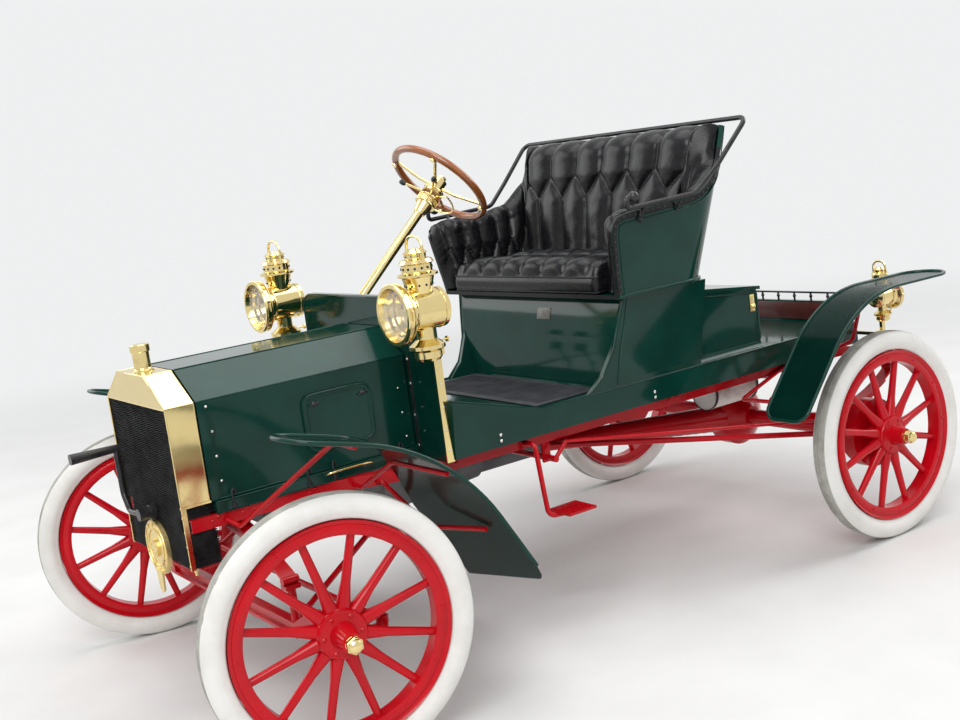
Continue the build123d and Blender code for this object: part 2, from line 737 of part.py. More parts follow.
# Muffler hung under the left rail, and the pipe from the engine
muffler = rod((muffler_x, muffler_y[0], muffler_z), (muffler_x, muffler_y[1], muffler_z), muffler_r)
muffler += bent_rod(
    [(110.3, 475, 560), (150, 475, 560), (muffler_x, 575, pipe_z), (muffler_x, muffler_y[0] + 5, pipe_z)],
    pipe_r, (24, 60),
)
for y in (muffler_y[0] + 40, muffler_y[1] - 40):
    strap_top = rail_z0 - run_gap
    muffler += box(muffler_x + 40, rail_x_rear - rail_t, y - 12, y + 12, strap_top - 6, strap_top)
save("muffler", muffler)


# Wheels, drawn with the axis on X and the outside towards +X
def make_wheel(front):
    hub_front = front_hub_len if front else rear_hub_len
    inner_r = rim_r - felloe_depth
    felloe = turned([
        (-felloe_w / 2, inner_r), (felloe_w / 2, inner_r), (felloe_w / 2, rim_r - 8),
        (felloe_w / 2 + 9, rim_r + 3), (felloe_w / 2 + 2, rim_r + 3), (felloe_w / 2 - 4, rim_r - 3),
        (-felloe_w / 2 + 4, rim_r - 3), (-felloe_w / 2 - 2, rim_r + 3), (-felloe_w / 2 - 9, rim_r + 3),
        (-felloe_w / 2, rim_r - 8),
    ])
    flange_half = hub_flange_gap / 2
    hub = turned([
        (-hub_back, hub_bore_r), (-hub_back, hub_barrel_r + 6),
        (-flange_half - hub_flange_t + 2, hub_flange_r),
        (flange_half, hub_flange_r), (flange_half + hub_flange_t, hub_flange_r - 4),
        (flange_half + 10, hub_barrel_r + 6), (hub_front, hub_barrel_r - 4), (hub_front, hub_bore_r),
    ])
    wheel = felloe + hub
    for i in range(spoke_count):
        angle = 360 / spoke_count * (i + 0.5)
        flare_end = hub_flange_r + spoke_flare
        spoke = rod((0, 0, hub_flange_r - 10), (0, 0, flare_end), spoke_root_r, spoke_mid_r)
        spoke += rod((0, 0, flare_end), (0, 0, inner_r + 4), spoke_mid_r, spoke_tip_r)
        wheel += Rot(angle, 0, 0) * spoke
    if not front:
        drum = turned([
            (-95, drum_r - 5), (-95, drum_r), (-95 + drum_w, drum_r), (-95 + drum_w, 20),
            (-95 + drum_w - 5, 20), (-95 + drum_w - 5, drum_r - 5),
        ])
        carrier = turned([(-50, hub_bore_r), (-50, 44), (-20, 44), (-20, hub_bore_r)])
        wheel += carrier + drum
    return wheel


def make_tyre():
    """A tyre as a ring of flats, standing on one of them."""
    def ring(x, radius):
        face = Rot(0, 0, 180 / tyre_flats) * RegularPolygon(radius, tyre_flats, major_radius=False)
        return Plane.YZ.offset(x) * face

    half = tyre_w / 2
    seat_r = rim_r + 3 + run_gap
    outline = [
        # x, outer radius
        (-half + 16, seat_r + 4), (-half + 4, seat_r + 14), (-half, tyre_r - 38), (-half + 8, tyre_r - 14),
        (-half + 24, tyre_r), (half - 24, tyre_r), (half - 8, tyre_r - 14), (half, tyre_r - 38),
        (half - 4, seat_r + 14), (half - 16, seat_r + 4),
    ]
    body = loft([ring(x, r) for x, r in outline], ruled=True)
    return body - extrude(ring(-half, seat_r), tyre_w)


def make_cap(hub_len):
    """A six-sided brass cap with a domed end."""
    def hexagon(x, radius):
        return Plane.YZ.offset(x) * RegularPolygon(radius, 6)

    back = extrude(hexagon(hub_len + run_gap, cap_r), cap_len - 12)
    rings = [hexagon(hub_len + cap_len - 12 + run_gap, cap_r - 2), hexagon(hub_len + cap_len, cap_r - 12)]
    dome = loft(rings, ruled=True)
    return back + dome


hub_offset = track / 2 - kingpin_x
wheel_places = [
    # name, side, front
    ("front_left", 1, True),
    ("front_right", -1, True),
    ("rear_left", 1, False),
    ("rear_right", -1, False),
]
for name, side, front in wheel_places:
    if front:
        facing = steer_now + (0 if side > 0 else 180)
        place = Pos(side * kingpin_x, 0, tyre_r) * Rot(0, 0, facing) * Pos(hub_offset, 0, 0)
    else:
        place = Pos(side * track / 2, wheelbase, tyre_r) * Rot(0, 0, 0 if side > 0 else 180)
    save(f"wheel_{name}", place * make_wheel(front))
    save(f"tyre_{name}", place * make_tyre())
    save(f"cap_{name}", place * make_cap(front_hub_len if front else rear_hub_len))


# Knuckles: a fork round the axle's eye, a stub for the wheel and a steering arm
def make_knuckle():
    ear_z = eye_h / 2 + run_gap
    web_x0 = eye_r + 1.5
    web = box(web_x0, hub_offset - hub_back - 2.5, -17, 17, -ear_z - ear_t, ear_z + ear_t)
    fork = web
    for z in (ear_z, -ear_z - ear_t):
        fork += Pos(0, 0, z + ear_t / 2) * Cylinder(eye_r, ear_t) + box(0, web_x0 + 2, -17, 17, z, z + ear_t)
    fork += Cylinder(kingpin_r, 2 * (ear_z + ear_t))
    fork += rod((web_x0, 0, 0), (hub_offset + front_hub_len - 6, 0, 0), spindle_r)
    arm = box(-9, 9, 0, arm_len, -ear_z - ear_t, -ear_z - ear_t + arm_t)
    arm += Pos(0, arm_len, -ear_z - ear_t + arm_t / 2) * Cylinder(15, arm_t)
    return fork + arm


knuckle = make_knuckle()
ear_low = -(eye_h / 2 + run_gap) - ear_t
tie_low = ear_low + arm_t + run_gap
pin_top = tie_low + tie_eye_h + 6
pin = Pos(0, arm_len, (ear_low + pin_top) / 2) * Cylinder(joint_pin_r, pin_top - ear_low)
knuckle += pin
tie_level = tyre_r + tie_low + tie_eye_h / 2
for name, side in (("left", 1), ("right", -1)):
    shape = knuckle if side > 0 else mirror(knuckle, Plane.YZ)
    save(f"knuckle_{name}", Pos(side * kingpin_x, 0, tyre_r) * Rot(0, 0, steer_now) * shape)

# Tie rod, with the drag link bolted to it
steer_rad = math.radians(steer_now)
tie_dx = -arm_len * math.sin(steer_rad)
tie_y = arm_len * math.cos(steer_rad)
tie = rod((-kingpin_x + tie_dx + 10, tie_y, tie_level), (kingpin_x + tie_dx - 10, tie_y, tie_level), tie_r)
for side in (-1, 1):
    end = Pos(side * kingpin_x + tie_dx, tie_y, tie_level)
    tie += end * Cylinder(tie_eye_r, tie_eye_h)
    tie -= end * Cylinder(joint_pin_r + run_gap, tie_eye_h + 2)
column_side = Vector(0, math.sin(math.radians(column_tilt)), -math.cos(math.radians(column_tilt)))
pitman_base = column_foot - column_dir * 12
pitman_ball = pitman_base + column_side * (arm_len * math.cos(steer_rad))
pitman_ball += Vector(-arm_len * math.sin(steer_rad), 0, 0)
ring_r = ball_r + 8
link_foot = Vector(pitman_ball.X - 130, tie_y, tie_level)
link = rod(link_foot, pitman_ball + (link_foot - pitman_ball).normalized() * (ring_r + 3), 8)
ring = Pos(*pitman_ball) * (Cylinder(ring_r + 7, 14) - Cylinder(ring_r, 16))
clamp_end = Vector(14, 0, 0)
clamp = rod(link_foot - clamp_end, link_foot + clamp_end, tie_r + 6)
link = link + clamp - rod(link_foot - clamp_end * 2, link_foot + clamp_end * 2, tie_r + run_gap)
save("tie_rod", tie)
save("drag_link", link + ring)

# Pitman arm on the steering shaft's lower end
pitman = rod(pitman_base - column_dir * 8, pitman_base + column_dir * 50, column_bore_r - run_gap)
arm_dir = (pitman_ball - pitman_base).normalized()
pitman += rod(pitman_base, pitman_base + arm_dir * (arm_len - ring_r - 14), 11, 8)
pitman += rod(pitman_base, pitman_ball, 6)
pitman += Pos(*pitman_ball) * Sphere(ball_r)
pitman += rod(pitman_base - column_dir * 9, pitman_base + column_dir * 9, 19)
save("pitman_arm", pitman)

# Steering column with its brackets, gear case and two levers
column = rod(column_foot, column_top - column_dir * (26 + run_gap), column_r)
column -= rod(column_foot - column_dir, column_foot + column_dir * 60, column_bore_r)
bracket = box(
    column_x, -rail_x_front - run_gap, rail_neck_y - 26, rail_neck_y - 1, rail_z0 + 15, rail_z0 + rail_h - 1,
)
bracket -= rod(column_foot - column_dir * 40, column_foot + column_dir * 60, column_bore_r)
bracket -= rod(column_foot - column_dir * 40, column_foot - column_dir * 1, 22)
column += bracket
case_low = column_top - column_dir * 95
column += rod(case_low, column_top - column_dir * 30, 36)
column += rod(case_low - column_dir * 40, case_low, 20, 30)
for turn, length in ((35, 120), (145, 120)):
    side_dir = Vector(1, 0, 0) * math.cos(math.radians(turn)) - column_side * math.sin(math.radians(turn))
    lever_base = column_top - column_dir * 50
    column += rod(lever_base, lever_base + side_dir * length, 4)
    column += Pos(*(lever_base + side_dir * length)) * Sphere(8)
save("steering_column", column)

# Hand wheel: a wooden rim on a brass spider
hand_plane = Plane(origin=column_top, x_dir=(1, 0, 0), z_dir=column_dir)
rim = hand_plane.location * Torus(hand_rim_r, hand_rim_section)
save("hand_wheel_rim", rim)
spider = hand_plane.location * (Pos(0, 0, -8) * Cylinder(24, 36) + Pos(0, 0, 14) * Cylinder(14, 14))
for i in range(4):
    spoke = bent_rod([(12, 0, -16), (70, 0, -16), (hand_rim_r - 12, 0, 0)], 5.5, (40,))
    spider += hand_plane.location * (Rot(0, 0, 45 + 90 * i) * spoke)
spider -= rim
save("hand_wheel_spider", spider)


# Lamps: brass side lamps on the dash, and one tail lamp
def turned_up(profile):
    """A body of revolution about Z from (radius, z) points."""
    return revolve(Plane.XZ * make_face(Polyline(*profile, close=True)), Axis.Z)


def make_lamp(k):
    """An oil lamp facing the front, k times the head lamp's size, with its glass."""
    def sized(profile):
        return [(k * a, k * b) for a, b in profile]

    eye = k * (lamp_eye_z - lamp_base_z)
    body_r = lamp_body_r
    rim_r = lamp_bezel_r
    fount = turned_up(sized([
        (0, 0), (34, 0), (40, 8), (40, 26), (52, 34), (52, 44), (38, 54), (30, 60), (0, 60),
    ]))
    chimney = turned_up(sized([
        (0, 190), (34, 190), (46, 236), (58, 240), (58, 246), (44, 252), (44, 272), (50, 276), (44, 286),
        (30, 290), (30, 300), (36, 304), (20, 316), (0, 316),
    ]))
    barrel = turned(sized([
        (-70, 0), (-70, body_r - 22), (-60, body_r), (60, body_r), (72, rim_r - 6), (92, rim_r),
        (98, rim_r - 3), (98, rim_r - 12), (84, rim_r - 16), (20, 40), (-30, 0),
    ]))
    glass = turned(sized([(78, 0), (78, rim_r - 20), (84, rim_r - 17), (88, rim_r - 26), (90, 0)]))
    brass = fount + Pos(0, 0, k * 72) * Cylinder(k * 26, k * 60)
    brass += Pos(0, 0, eye + k * 54) * Cylinder(k * 32, k * 40)
    brass = brass + chimney + Pos(0, 0, eye) * Rot(0, 0, -90) * barrel
    loop = [(-44 * k, 0, 262 * k), (-40 * k, 0, 350 * k), (40 * k, 0, 350 * k), (44 * k, 0, 262 * k)]
    brass += bent_rod(loop, 4, (34 * k, 34 * k))
    return brass, Pos(0, 0, eye) * Rot(0, 0, -90) * glass


lamps = []
glasses = []
head_form, head_glass = make_lamp(1.0)
arm_end = dash_y - lamp_y - run_gap
head_form += box(-8, 8, 0, arm_end, 12, 26)
for side in (-1, 1):
    place = Pos(side * lamp_x, lamp_y, lamp_base_z)
    x0, x1 = sorted((side * 8, side * (dash_half - lamp_x - 40)))
    lamps.append(place * (head_form + box(x0, x1, arm_end - 9, arm_end, 8, 30)))
    glasses.append(place * head_glass)
tail_form, tail_glass = make_lamp(tail_scale)
tail_place = Pos(*tail_lamp) * Rot(0, 0, 180)
tail_x, tail_y, tail_z = tail_lamp
arm_z0, arm_z1 = floor_z - 40, floor_z - 28
tail_arm = box(tub_half + run_gap, tail_x, deck_tail_y - 30, deck_tail_y - 18, arm_z0, arm_z1)
tail_arm += box(tail_x - 12, tail_x, deck_tail_y - 30, tail_y + 8, arm_z0, arm_z1)
tail_arm += box(tail_x - 12, tail_x, tail_y - 8, tail_y + 8, arm_z0, tail_z + 4)
lamps.append(tail_place * tail_form + tail_arm)
glasses.append(tail_place * tail_glass)
save("lamps", *lamps)
save("lamp_glasses", *glasses)

# Starting crank: boss, bent arm and handle, over a round bronze cover
crank = rod((0, crank_y + 20, crank_z), (0, rad_face_y + 3.7, crank_z), 22)
crank += bent_rod(
    [
        (0, crank_y, crank_z), (-100, crank_y, crank_z - 8),
        (crank_handle_x, crank_y, crank_z + 40), (crank_handle_x, crank_y, crank_handle_z),
    ],
    9, (30, 40),
)
crank += rod((0, crank_y - 12, crank_z), (0, crank_y + 30, crank_z), 18)
grip_from = (crank_handle_x, crank_y + 12, crank_handle_z)
grip_to = (crank_handle_x, crank_y - 134, crank_handle_z - 2)
crank += rod(grip_from, grip_to, 11, 16)
save("starting_crank", crank)
cover = rod((0, -198, 495), (0, rad_face_y + 3.7, 495), 80)
cover += rod((0, -206, 495), (0, -190, 495), 26)
cover += front_plate([(-24, 430), (24, 430), (16, 370), (0, 360), (-16, 370)], -203, -197)
save("drive_cover", cover)
print("middle of the length from the front axle:", round(mid_y, 3))
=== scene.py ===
import math
import bmesh
import bpy
from mathutils import Matrix, Vector, noise


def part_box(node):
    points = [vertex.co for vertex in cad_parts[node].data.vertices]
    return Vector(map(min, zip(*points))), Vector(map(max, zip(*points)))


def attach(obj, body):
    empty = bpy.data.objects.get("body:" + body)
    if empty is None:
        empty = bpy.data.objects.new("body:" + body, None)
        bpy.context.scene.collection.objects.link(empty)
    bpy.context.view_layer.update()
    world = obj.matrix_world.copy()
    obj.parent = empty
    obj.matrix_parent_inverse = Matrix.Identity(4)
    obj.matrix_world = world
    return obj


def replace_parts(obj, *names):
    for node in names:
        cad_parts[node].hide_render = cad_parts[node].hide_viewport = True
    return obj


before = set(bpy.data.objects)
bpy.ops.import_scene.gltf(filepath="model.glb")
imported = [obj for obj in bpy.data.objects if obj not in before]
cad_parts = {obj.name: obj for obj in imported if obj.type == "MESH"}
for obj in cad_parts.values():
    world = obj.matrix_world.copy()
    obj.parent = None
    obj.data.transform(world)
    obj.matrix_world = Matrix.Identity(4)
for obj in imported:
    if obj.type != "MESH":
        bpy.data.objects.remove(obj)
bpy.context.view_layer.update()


# Ground, camera and light. The floor is a wide pale sheet, and large soft
# lamps stand round the car as in a plain studio.
class Wire:
    """A socket of a material's node tree, so that shader sums read as sums."""

    def __init__(self, tree, socket):
        self.tree = tree
        self.socket = socket

    def node(self, kind, settings=None, values=None, out=0):
        """Any node: its settings first, then the values or links of its inputs."""
        step = self.tree.nodes.new(kind)
        for name, value in (settings or {}).items():
            setattr(step, name, value)
        for name, value in (values or {}).items():
            if isinstance(value, Wire):
                self.tree.links.new(value.socket, step.inputs[name])
            else:
                step.inputs[name].default_value = value
        return Wire(self.tree, step.outputs[out])

    def sum(self, operation, first, second=0.0):
        return self.node("ShaderNodeMath", {"operation": operation}, {0: first, 1: second})

    def __add__(self, other):
        return self.sum("ADD", self, other)

    def __mul__(self, other):
        return self.sum("MULTIPLY", self, other)

    __radd__ = __add__
    __rmul__ = __mul__

    def vector(self, operation, other=(0.0, 0.0, 0.0), out=1):
        """A sum of vectors: output 0 is a vector, output 1 a number."""
        settings = {"operation": operation}
        return self.node("ShaderNodeVectorMath", settings, {0: self, 1: other}, out)

    def over(self, low, high):
        """0 below low, 1 above high, smooth between."""
        settings = {"interpolation_type": "SMOOTHSTEP"}
        return self.node("ShaderNodeMapRange", settings, {0: self, 1: low, 2: high})

    def mix(self, first, second):
        """The first colour where this is 0 and the second where it is 1."""
        values = {0: self, 6: (*first, 1.0), 7: (*second, 1.0)}
        return self.node("ShaderNodeMix", {"data_type": "RGBA"}, values, out=2)

    def noise(self, scale, detail=3.0, rough=0.5):
        values = {"Vector": self, "Scale": scale, "Detail": detail, "Roughness": rough}
        return self.node("ShaderNodeTexNoise", {}, values)

    def bump(self, strength, distance):
        values = {"Height": self, "Strength": strength, "Distance": distance}
        return self.node("ShaderNodeBump", {}, values)

    def into(self, shader, name):
        self.tree.links.new(self.socket, shader.inputs[name])


def finish(name, roughness=0.5, metallic=0.0, coat=0.0, specular=0.5):
    """A new material, its shader, and the object coordinates to paint by."""
    material = bpy.data.materials.new(name)
    material.use_nodes = True
    tree = material.node_tree
    shader = tree.nodes["Principled BSDF"]
    shader.inputs["Roughness"].default_value = roughness
    shader.inputs["Metallic"].default_value = metallic
    shader.inputs["Coat Weight"].default_value = coat
    shader.inputs["Coat Roughness"].default_value = 0.05
    shader.inputs["Specular IOR Level"].default_value = specular
    return material, shader, Wire(tree, tree.nodes.new("ShaderNodeTexCoord").outputs["Object"])


def seen_straight(tree):
    """1 for the camera's rays, also by way of a mirror or a lens, and else 0."""
    rays = tree.nodes.new("ShaderNodeLightPath")
    names = ("Is Camera Ray", "Is Glossy Ray", "Is Transmission Ray")
    camera_ray, glossy, through = (Wire(tree, rays.outputs[name]) for name in names)
    return (camera_ray + glossy + through).over(0.0, 1.0)


def present(name, data):
    """A new object in the scene."""
    made = bpy.data.objects.new(name, data)
    bpy.context.scene.collection.objects.link(made)
    return made


floor_shape = bmesh.new()
bmesh.ops.create_grid(floor_shape, x_segments=2, y_segments=2, size=30.0)
floor_mesh = bpy.data.meshes.new("studio_floor")
floor_shape.to_mesh(floor_mesh)
floor_shape.free()
floor_paint, shader, at = finish("floor_paint", roughness=0.85)
cloud = at.noise(3.0, 4.0).over(0.3, 0.7)
cloud.mix((0.74, 0.74, 0.73), (0.78, 0.78, 0.77)).into(shader, "Base Color")
backdrop = (0.86, 0.87, 0.875, 1.0)
fade = at.vector("LENGTH").over(2.6, 8.0) * seen_straight(at.tree)
glow = at.node("ShaderNodeEmission", {}, {"Color": backdrop, "Strength": 1.0})
lit = {0: fade, 1: Wire(at.tree, shader.outputs[0]), 2: glow}
at.node("ShaderNodeMixShader", {}, lit).into(at.tree.nodes["Material Output"], "Surface")
floor_mesh.materials.append(floor_paint)
present("studio_floor", floor_mesh)

world = bpy.data.worlds.new("studio_air")
bpy.context.scene.world = world
world.use_nodes = True
air = world.node_tree.nodes["Background"]
(0.40 + 0.60 * seen_straight(world.node_tree)).into(air, "Strength")
air.inputs["Color"].default_value = backdrop

azimuth, elevation, roll = math.radians(56.18), math.radians(9.29), math.radians(-7.5)
level = math.cos(elevation)
back = Vector((math.sin(azimuth) * level, -math.cos(azimuth) * level, math.sin(elevation)))
side = Vector((math.cos(azimuth), math.sin(azimuth), 0.0))
upward = back.cross(side)
right = math.cos(roll) * side + math.sin(roll) * upward
top = -math.sin(roll) * side + math.cos(roll) * upward
camera_data = bpy.data.cameras.new("studio_camera")
camera_data.sensor_width = 36.0
camera_data.lens = 47.46
camera_data.clip_end = 100.0
camera = present("studio_camera", camera_data)
stand = Matrix.Translation((3.45026, -2.39026, 1.4813))
camera.matrix_world = stand @ Matrix((right, top, back)).transposed().to_4x4()
bpy.context.scene.camera = camera
bpy.context.scene.view_settings.view_transform = "Standard"

car_middle = Vector((0.0, 0.0, 0.6))
soft_boxes = [
    # name, place, size, power
    ("key_lamp", (4.5, -4.0, 5.2), 4.0, 300.0),
    ("fill_lamp", (-5.0, -3.5, 4.0), 4.5, 150.0),
    ("rear_lamp", (1.5, 6.0, 4.6), 4.0, 190.0),
    ("top_lamp", (0.0, 0.0, 6.5), 5.0, 190.0),
]
for lamp_name, place, size, power in soft_boxes:
    lamp_data = bpy.data.lights.new(lamp_name, "AREA")
    lamp_data.energy = power
    lamp_data.size = size
    facing = (Vector(place) - car_middle).to_track_quat("Z", "Y")
    lamp = present(lamp_name, lamp_data)
    lamp.matrix_world = Matrix.Translation(place) @ facing.to_matrix().to_4x4()


# Chassis: pressed rails, axles, springs and irons, all brushed and varnished
# in a bright red coach paint, mottled a little darker at random.
def gloss_paint(name, colour, deep, rough=0.16):
    material, shader, at = finish(name, coat=0.12, specular=0.22)
    at.noise(7.0, 4.0).over(0.3, 0.75).mix(deep, colour).into(shader, "Base Color")
    (rough + 0.10 * at.noise(30.0, 4.0)).into(shader, "Roughness")
    (at.noise(160.0, 2.0) + 0.5 * at.noise(28.0, 2.0)).bump(0.06, 0.0006).into(shader, "Normal")
    return material


def soften(name, material, angle=32.0):
    """Give a CAD node its material, and shade its curved faces smooth."""
    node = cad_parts[name]
    for holder in node.material_slots:
        holder.material = material
    modifier = node.modifiers.new("smooth_by_angle", "NODES")
    modifier.node_group = smooth_group(angle)


def smooth_group(angle):
    """Nodes that merge points, shade smooth, and keep edges over the angle hard."""
    name = f"smooth_{angle:.0f}"
    if name in bpy.data.node_groups:
        return bpy.data.node_groups[name]
    group = bpy.data.node_groups.new(name, "GeometryNodeTree")
    for way in ("INPUT", "OUTPUT"):
        group.interface.new_socket("Geometry", in_out=way, socket_type="NodeSocketGeometry")
    kinds = [
        "NodeGroupInput", "GeometryNodeMergeByDistance", "GeometryNodeSetShadeSmooth",
        "GeometryNodeSetShadeSmooth", "NodeGroupOutput",
    ]
    steps = [group.nodes.new(kind) for kind in kinds]
    for before, after in zip(steps, steps[1:]):
        group.links.new(before.outputs[0], after.inputs[0])
    steps[1].inputs["Distance"].default_value = 0.00001
    steps[2].domain = "FACE"
    steps[3].domain = "EDGE"
    steps[3].inputs["Shade Smooth"].default_value = False
    edge = group.nodes.new("GeometryNodeInputMeshEdgeAngle")
    sharp = group.nodes.new("FunctionNodeCompare")
    sharp.data_type = "FLOAT"
    sharp.operation = "GREATER_THAN"
    sharp.inputs["B"].default_value = math.radians(angle)
    group.links.new(edge.outputs["Unsigned Angle"], sharp.inputs["A"])
    group.links.new(sharp.outputs["Result"], steps[3].inputs["Selection"])
    return group


red_paint = gloss_paint("red_coach_paint", (0.56, 0.002, 0.009), (0.44, 0.002, 0.007))
chassis_nodes = [
    "frame", "front_axle", "springs", "rear_axle", "radius_rods", "brake_gear", "steps",
    "knuckle_left", "knuckle_right", "tie_rod", "drag_link", "pitman_arm",
]
for name in chassis_nodes:
    soften(name, red_paint)


# Rivets and bolts in the frame rails: rows of round heads where the cross
# members, spring perches and body irons are fastened.
axle_y = -1.064098


def car(x, y, z):
    """A point of the car: y is counted from the front axle, back is more."""
    return Vector((x, axle_y + y, z))


def shift(*place):
    return Matrix.Translation(place)


def aim(place, direction):
    """Turn the X axis to a direction, and move to a place."""
    return shift(*place) @ Vector(direction).to_track_quat("X", "Z").to_matrix().to_4x4()


def on_side(way, x, y, z):
    """A place on one side of the car, with X outwards."""
    return aim(car(way * x, y, z), (way, 0, 0))


def move(shape, place):
    """Move a bmesh to a place, and hand it back."""
    bmesh.ops.transform(shape, matrix=place, verts=shape.verts)
    return shape


def add(shape, part, place=Matrix()):
    """Put one bmesh into another at a place."""
    mesh = bpy.data.meshes.new("part")
    move(part, place).to_mesh(mesh)
    part.free()
    shape.from_mesh(mesh)
    bpy.data.meshes.remove(mesh)


def both_sides(shape, part, spots):
    """Put copies of a part at (x, y, z) spots on the left and on the right."""
    for way in (-1, 1):
        for spot in spots:
            add(shape, part.copy(), on_side(way, *spot))
    part.free()


def piece(name, shape, material, body="chassis", sharp=34.0):
    """Turn a bmesh into a piece that rides on a body, hard only at its sharp edges."""
    bmesh.ops.recalc_face_normals(shape, faces=shape.faces)
    for face in shape.faces:
        face.smooth = True
    for edge in shape.edges:
        edge.smooth = not (edge.is_manifold and edge.calc_face_angle() > math.radians(sharp))
    mesh = bpy.data.meshes.new(name)
    shape.to_mesh(mesh)
    shape.free()
    mesh.materials.append(material)
    made = present(name, mesh)
    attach(made, body)
    return made


def lathe(profile, steps=32):
    """A turned shape about X from (x, radius) points."""
    shape = bmesh.new()
    points = [shape.verts.new((along, 0.0, radius)) for along, radius in profile]
    for first, second in zip(points, points[1:]):
        shape.edges.new((first, second))
    geometry = list(shape.verts) + list(shape.edges)
    bmesh.ops.spin(
        shape, geom=geometry, axis=(1, 0, 0), cent=(0, 0, 0), dvec=(0, 0, 0),
        angle=2 * math.pi, steps=steps, use_merge=True, use_duplicate=False,
    )
    bmesh.ops.remove_doubles(shape, verts=shape.verts, dist=0.000005)
    return shape


def knob(rows, steps, tip=None):
    """A turned solid from (x, radius) rows, its ends shut flat or with a point at tip."""
    end = rows[-1][0] if tip is None else tip
    return lathe([(rows[0][0], 0.0), *rows, (end, 0.0)], steps)


rivets = bmesh.new()
rivet_rows = [
    # y from the front axle, rail half width there, heads
    (-0.10, 0.232, 2), (0.0, 0.232, 3), (0.20, 0.232, 2), (0.60, 0.352, 3), (0.87, 0.352, 2),
    (1.50, 0.352, 3), (1.83, 0.352, 2), (2.134, 0.352, 3), (2.31, 0.352, 2),
]
rail_z, rivet_step, rivet_stagger = 0.588, 0.018, 0.008
rivet_spots = [
    (half, y + (k - (count - 1) / 2) * rivet_step, rail_z + rivet_stagger * (k % 2))
    for y, half, count in rivet_rows for k in range(count)
]
dome = knob([(-0.001, 0.006), (0.002, 0.0052), (0.0042, 0.0025)], 10, 0.0046)
both_sides(rivets, dome, rivet_spots)
piece("frame_rivets", rivets, red_paint)


# Wheels: hickory spokes and felloes under the same red paint, with a pressed
# hub flange held by six bolts. The rear hubs carry the brake drums.
def turned(degrees, axis):
    return Matrix.Rotation(math.radians(degrees), 4, axis)


def put(x, y, z):
    """A place of the car, with the axes unturned."""
    return shift(*car(x, y, z))


def bolt_head(across, height, sides=6):
    """A bolt head along X with a domed end, its foot 1 mm in the seat."""
    radius = across / 2
    return knob([(-0.001, radius), (height * 0.7, radius), (height, radius * 0.62)], sides)


def circle(count, x, radius, first=0.0):
    """Points evenly round the X axis, the first at an angle in degrees."""
    for k in range(count):
        a = math.radians(first + 360 * k / count)
        yield Vector((x, radius * math.cos(a), radius * math.sin(a)))


wheel_paint = gloss_paint("red_wheel_paint", (0.58, 0.002, 0.010), (0.47, 0.002, 0.008))
steer = -11.0  # degrees
kingpin_x, hub_out, half_track, wheelbase, tyre_r = 0.650, 0.061, 0.711, 2.134, 0.3556
felloe_half = 0.0210
felloe_round = [
    # x over the felloe's face, radius: rounded between the spokes and the rim
    (-0.001, 0.2504), (0.0012, 0.2512), (0.0034, 0.2550), (0.0044, 0.2630),
    (0.0036, 0.2710), (0.0014, 0.2768), (-0.001, 0.2782),
]
wheel_places = {}
for name, way in (("front_left", 1), ("front_right", -1)):
    kingpin = put(way * kingpin_x, 0.0, tyre_r)
    facing = turned(steer + (0 if way > 0 else 180), "Z")
    wheel_places[name] = kingpin @ facing @ shift(hub_out, 0, 0)
for name, way in (("rear_left", 1), ("rear_right", -1)):
    facing = turned(0 if way > 0 else 180, "Z")
    wheel_places[name] = put(way * half_track, wheelbase, tyre_r) @ facing
for name, place in wheel_places.items():
    soften(f"wheel_{name}", wheel_paint, 40.0)
    bolts = bmesh.new()
    for spot in circle(6, 0.0255, 0.050):
        add(bolts, bolt_head(0.013, 0.006), shift(*spot))
    flange = [(0.0245, 0.0545), (0.0275, 0.0555), (0.0275, 0.0605), (0.0245, 0.0615)]
    add(bolts, lathe(flange, 48))
    for way in (-1, 1):
        add(bolts, lathe([(way * (felloe_half + x), radius) for x, radius in felloe_round], 96))
    for spot in circle(12, felloe_half + 0.0040, 0.2665):
        add(bolts, bolt_head(0.009, 0.003, 8), shift(*spot))
    piece(f"hub_bolts_{name}", move(bolts, place), wheel_paint, f"wheel_{name}")


# Tyres: moulded white rubber with three shallow grey ribs round the tread,
# stretched over the steel rim; a little dust lies in the grooves.
def mottled(name, cloud, between, low, high, rough=None, bump=None, **settings):
    """A material that a noise mottles between two colours. rough is the base,
    the spread and the noise of its roughness; bump is the strength, the height
    and the noise of its relief."""
    material, shader, at = finish(name, **settings)
    at.noise(*cloud).over(*between).mix(low, high).into(shader, "Base Color")
    if rough:
        base, spread, *grain = rough
        (base + spread * at.noise(*grain)).into(shader, "Roughness")
    if bump:
        strength, distance, *grain = bump
        at.noise(*grain).bump(strength, distance).into(shader, "Normal")
    return material


white_rubber, shader, at = finish("white_rubber", roughness=0.55)
dirt, fleck = at.noise(9.0, 5.0, 0.6), at.noise(70.0, 4.0, 0.7)
dirt.over(0.35, 0.62).mix((0.76, 0.75, 0.71), (0.83, 0.82, 0.79)).into(shader, "Base Color")
(0.42 + 0.25 * fleck).into(shader, "Roughness")
(fleck + 0.6 * dirt).bump(0.12, 0.0008).into(shader, "Normal")
tread_rubber = mottled(
    "grey_tread", (14.0, 5.0, 0.65), (0.3, 0.7), (0.30, 0.29, 0.26), (0.50, 0.49, 0.45),
    rough=(0.6, 0.25, 60.0, 3.0), bump=(0.2, 0.001, 220.0, 3.0), roughness=0.7,
)
half_profile = [
    # x, radius: from the rim's lip over the wall to the middle of the tread
    (0.0190, 0.2900), (0.0265, 0.2945), (0.0275, 0.3000), (0.0330, 0.3060), (0.0372, 0.3160),
    (0.0380, 0.3240), (0.0368, 0.3340), (0.0330, 0.3425), (0.0275, 0.3490), (0.0225, 0.3527),
    (0.0205, 0.3536), (0.0190, 0.3522), (0.0175, 0.3538), (0.0150, 0.3547), (0.0095, 0.3554),
    (0.0080, 0.3540), (0.0065, 0.3555), (0.0, 0.3556),
]
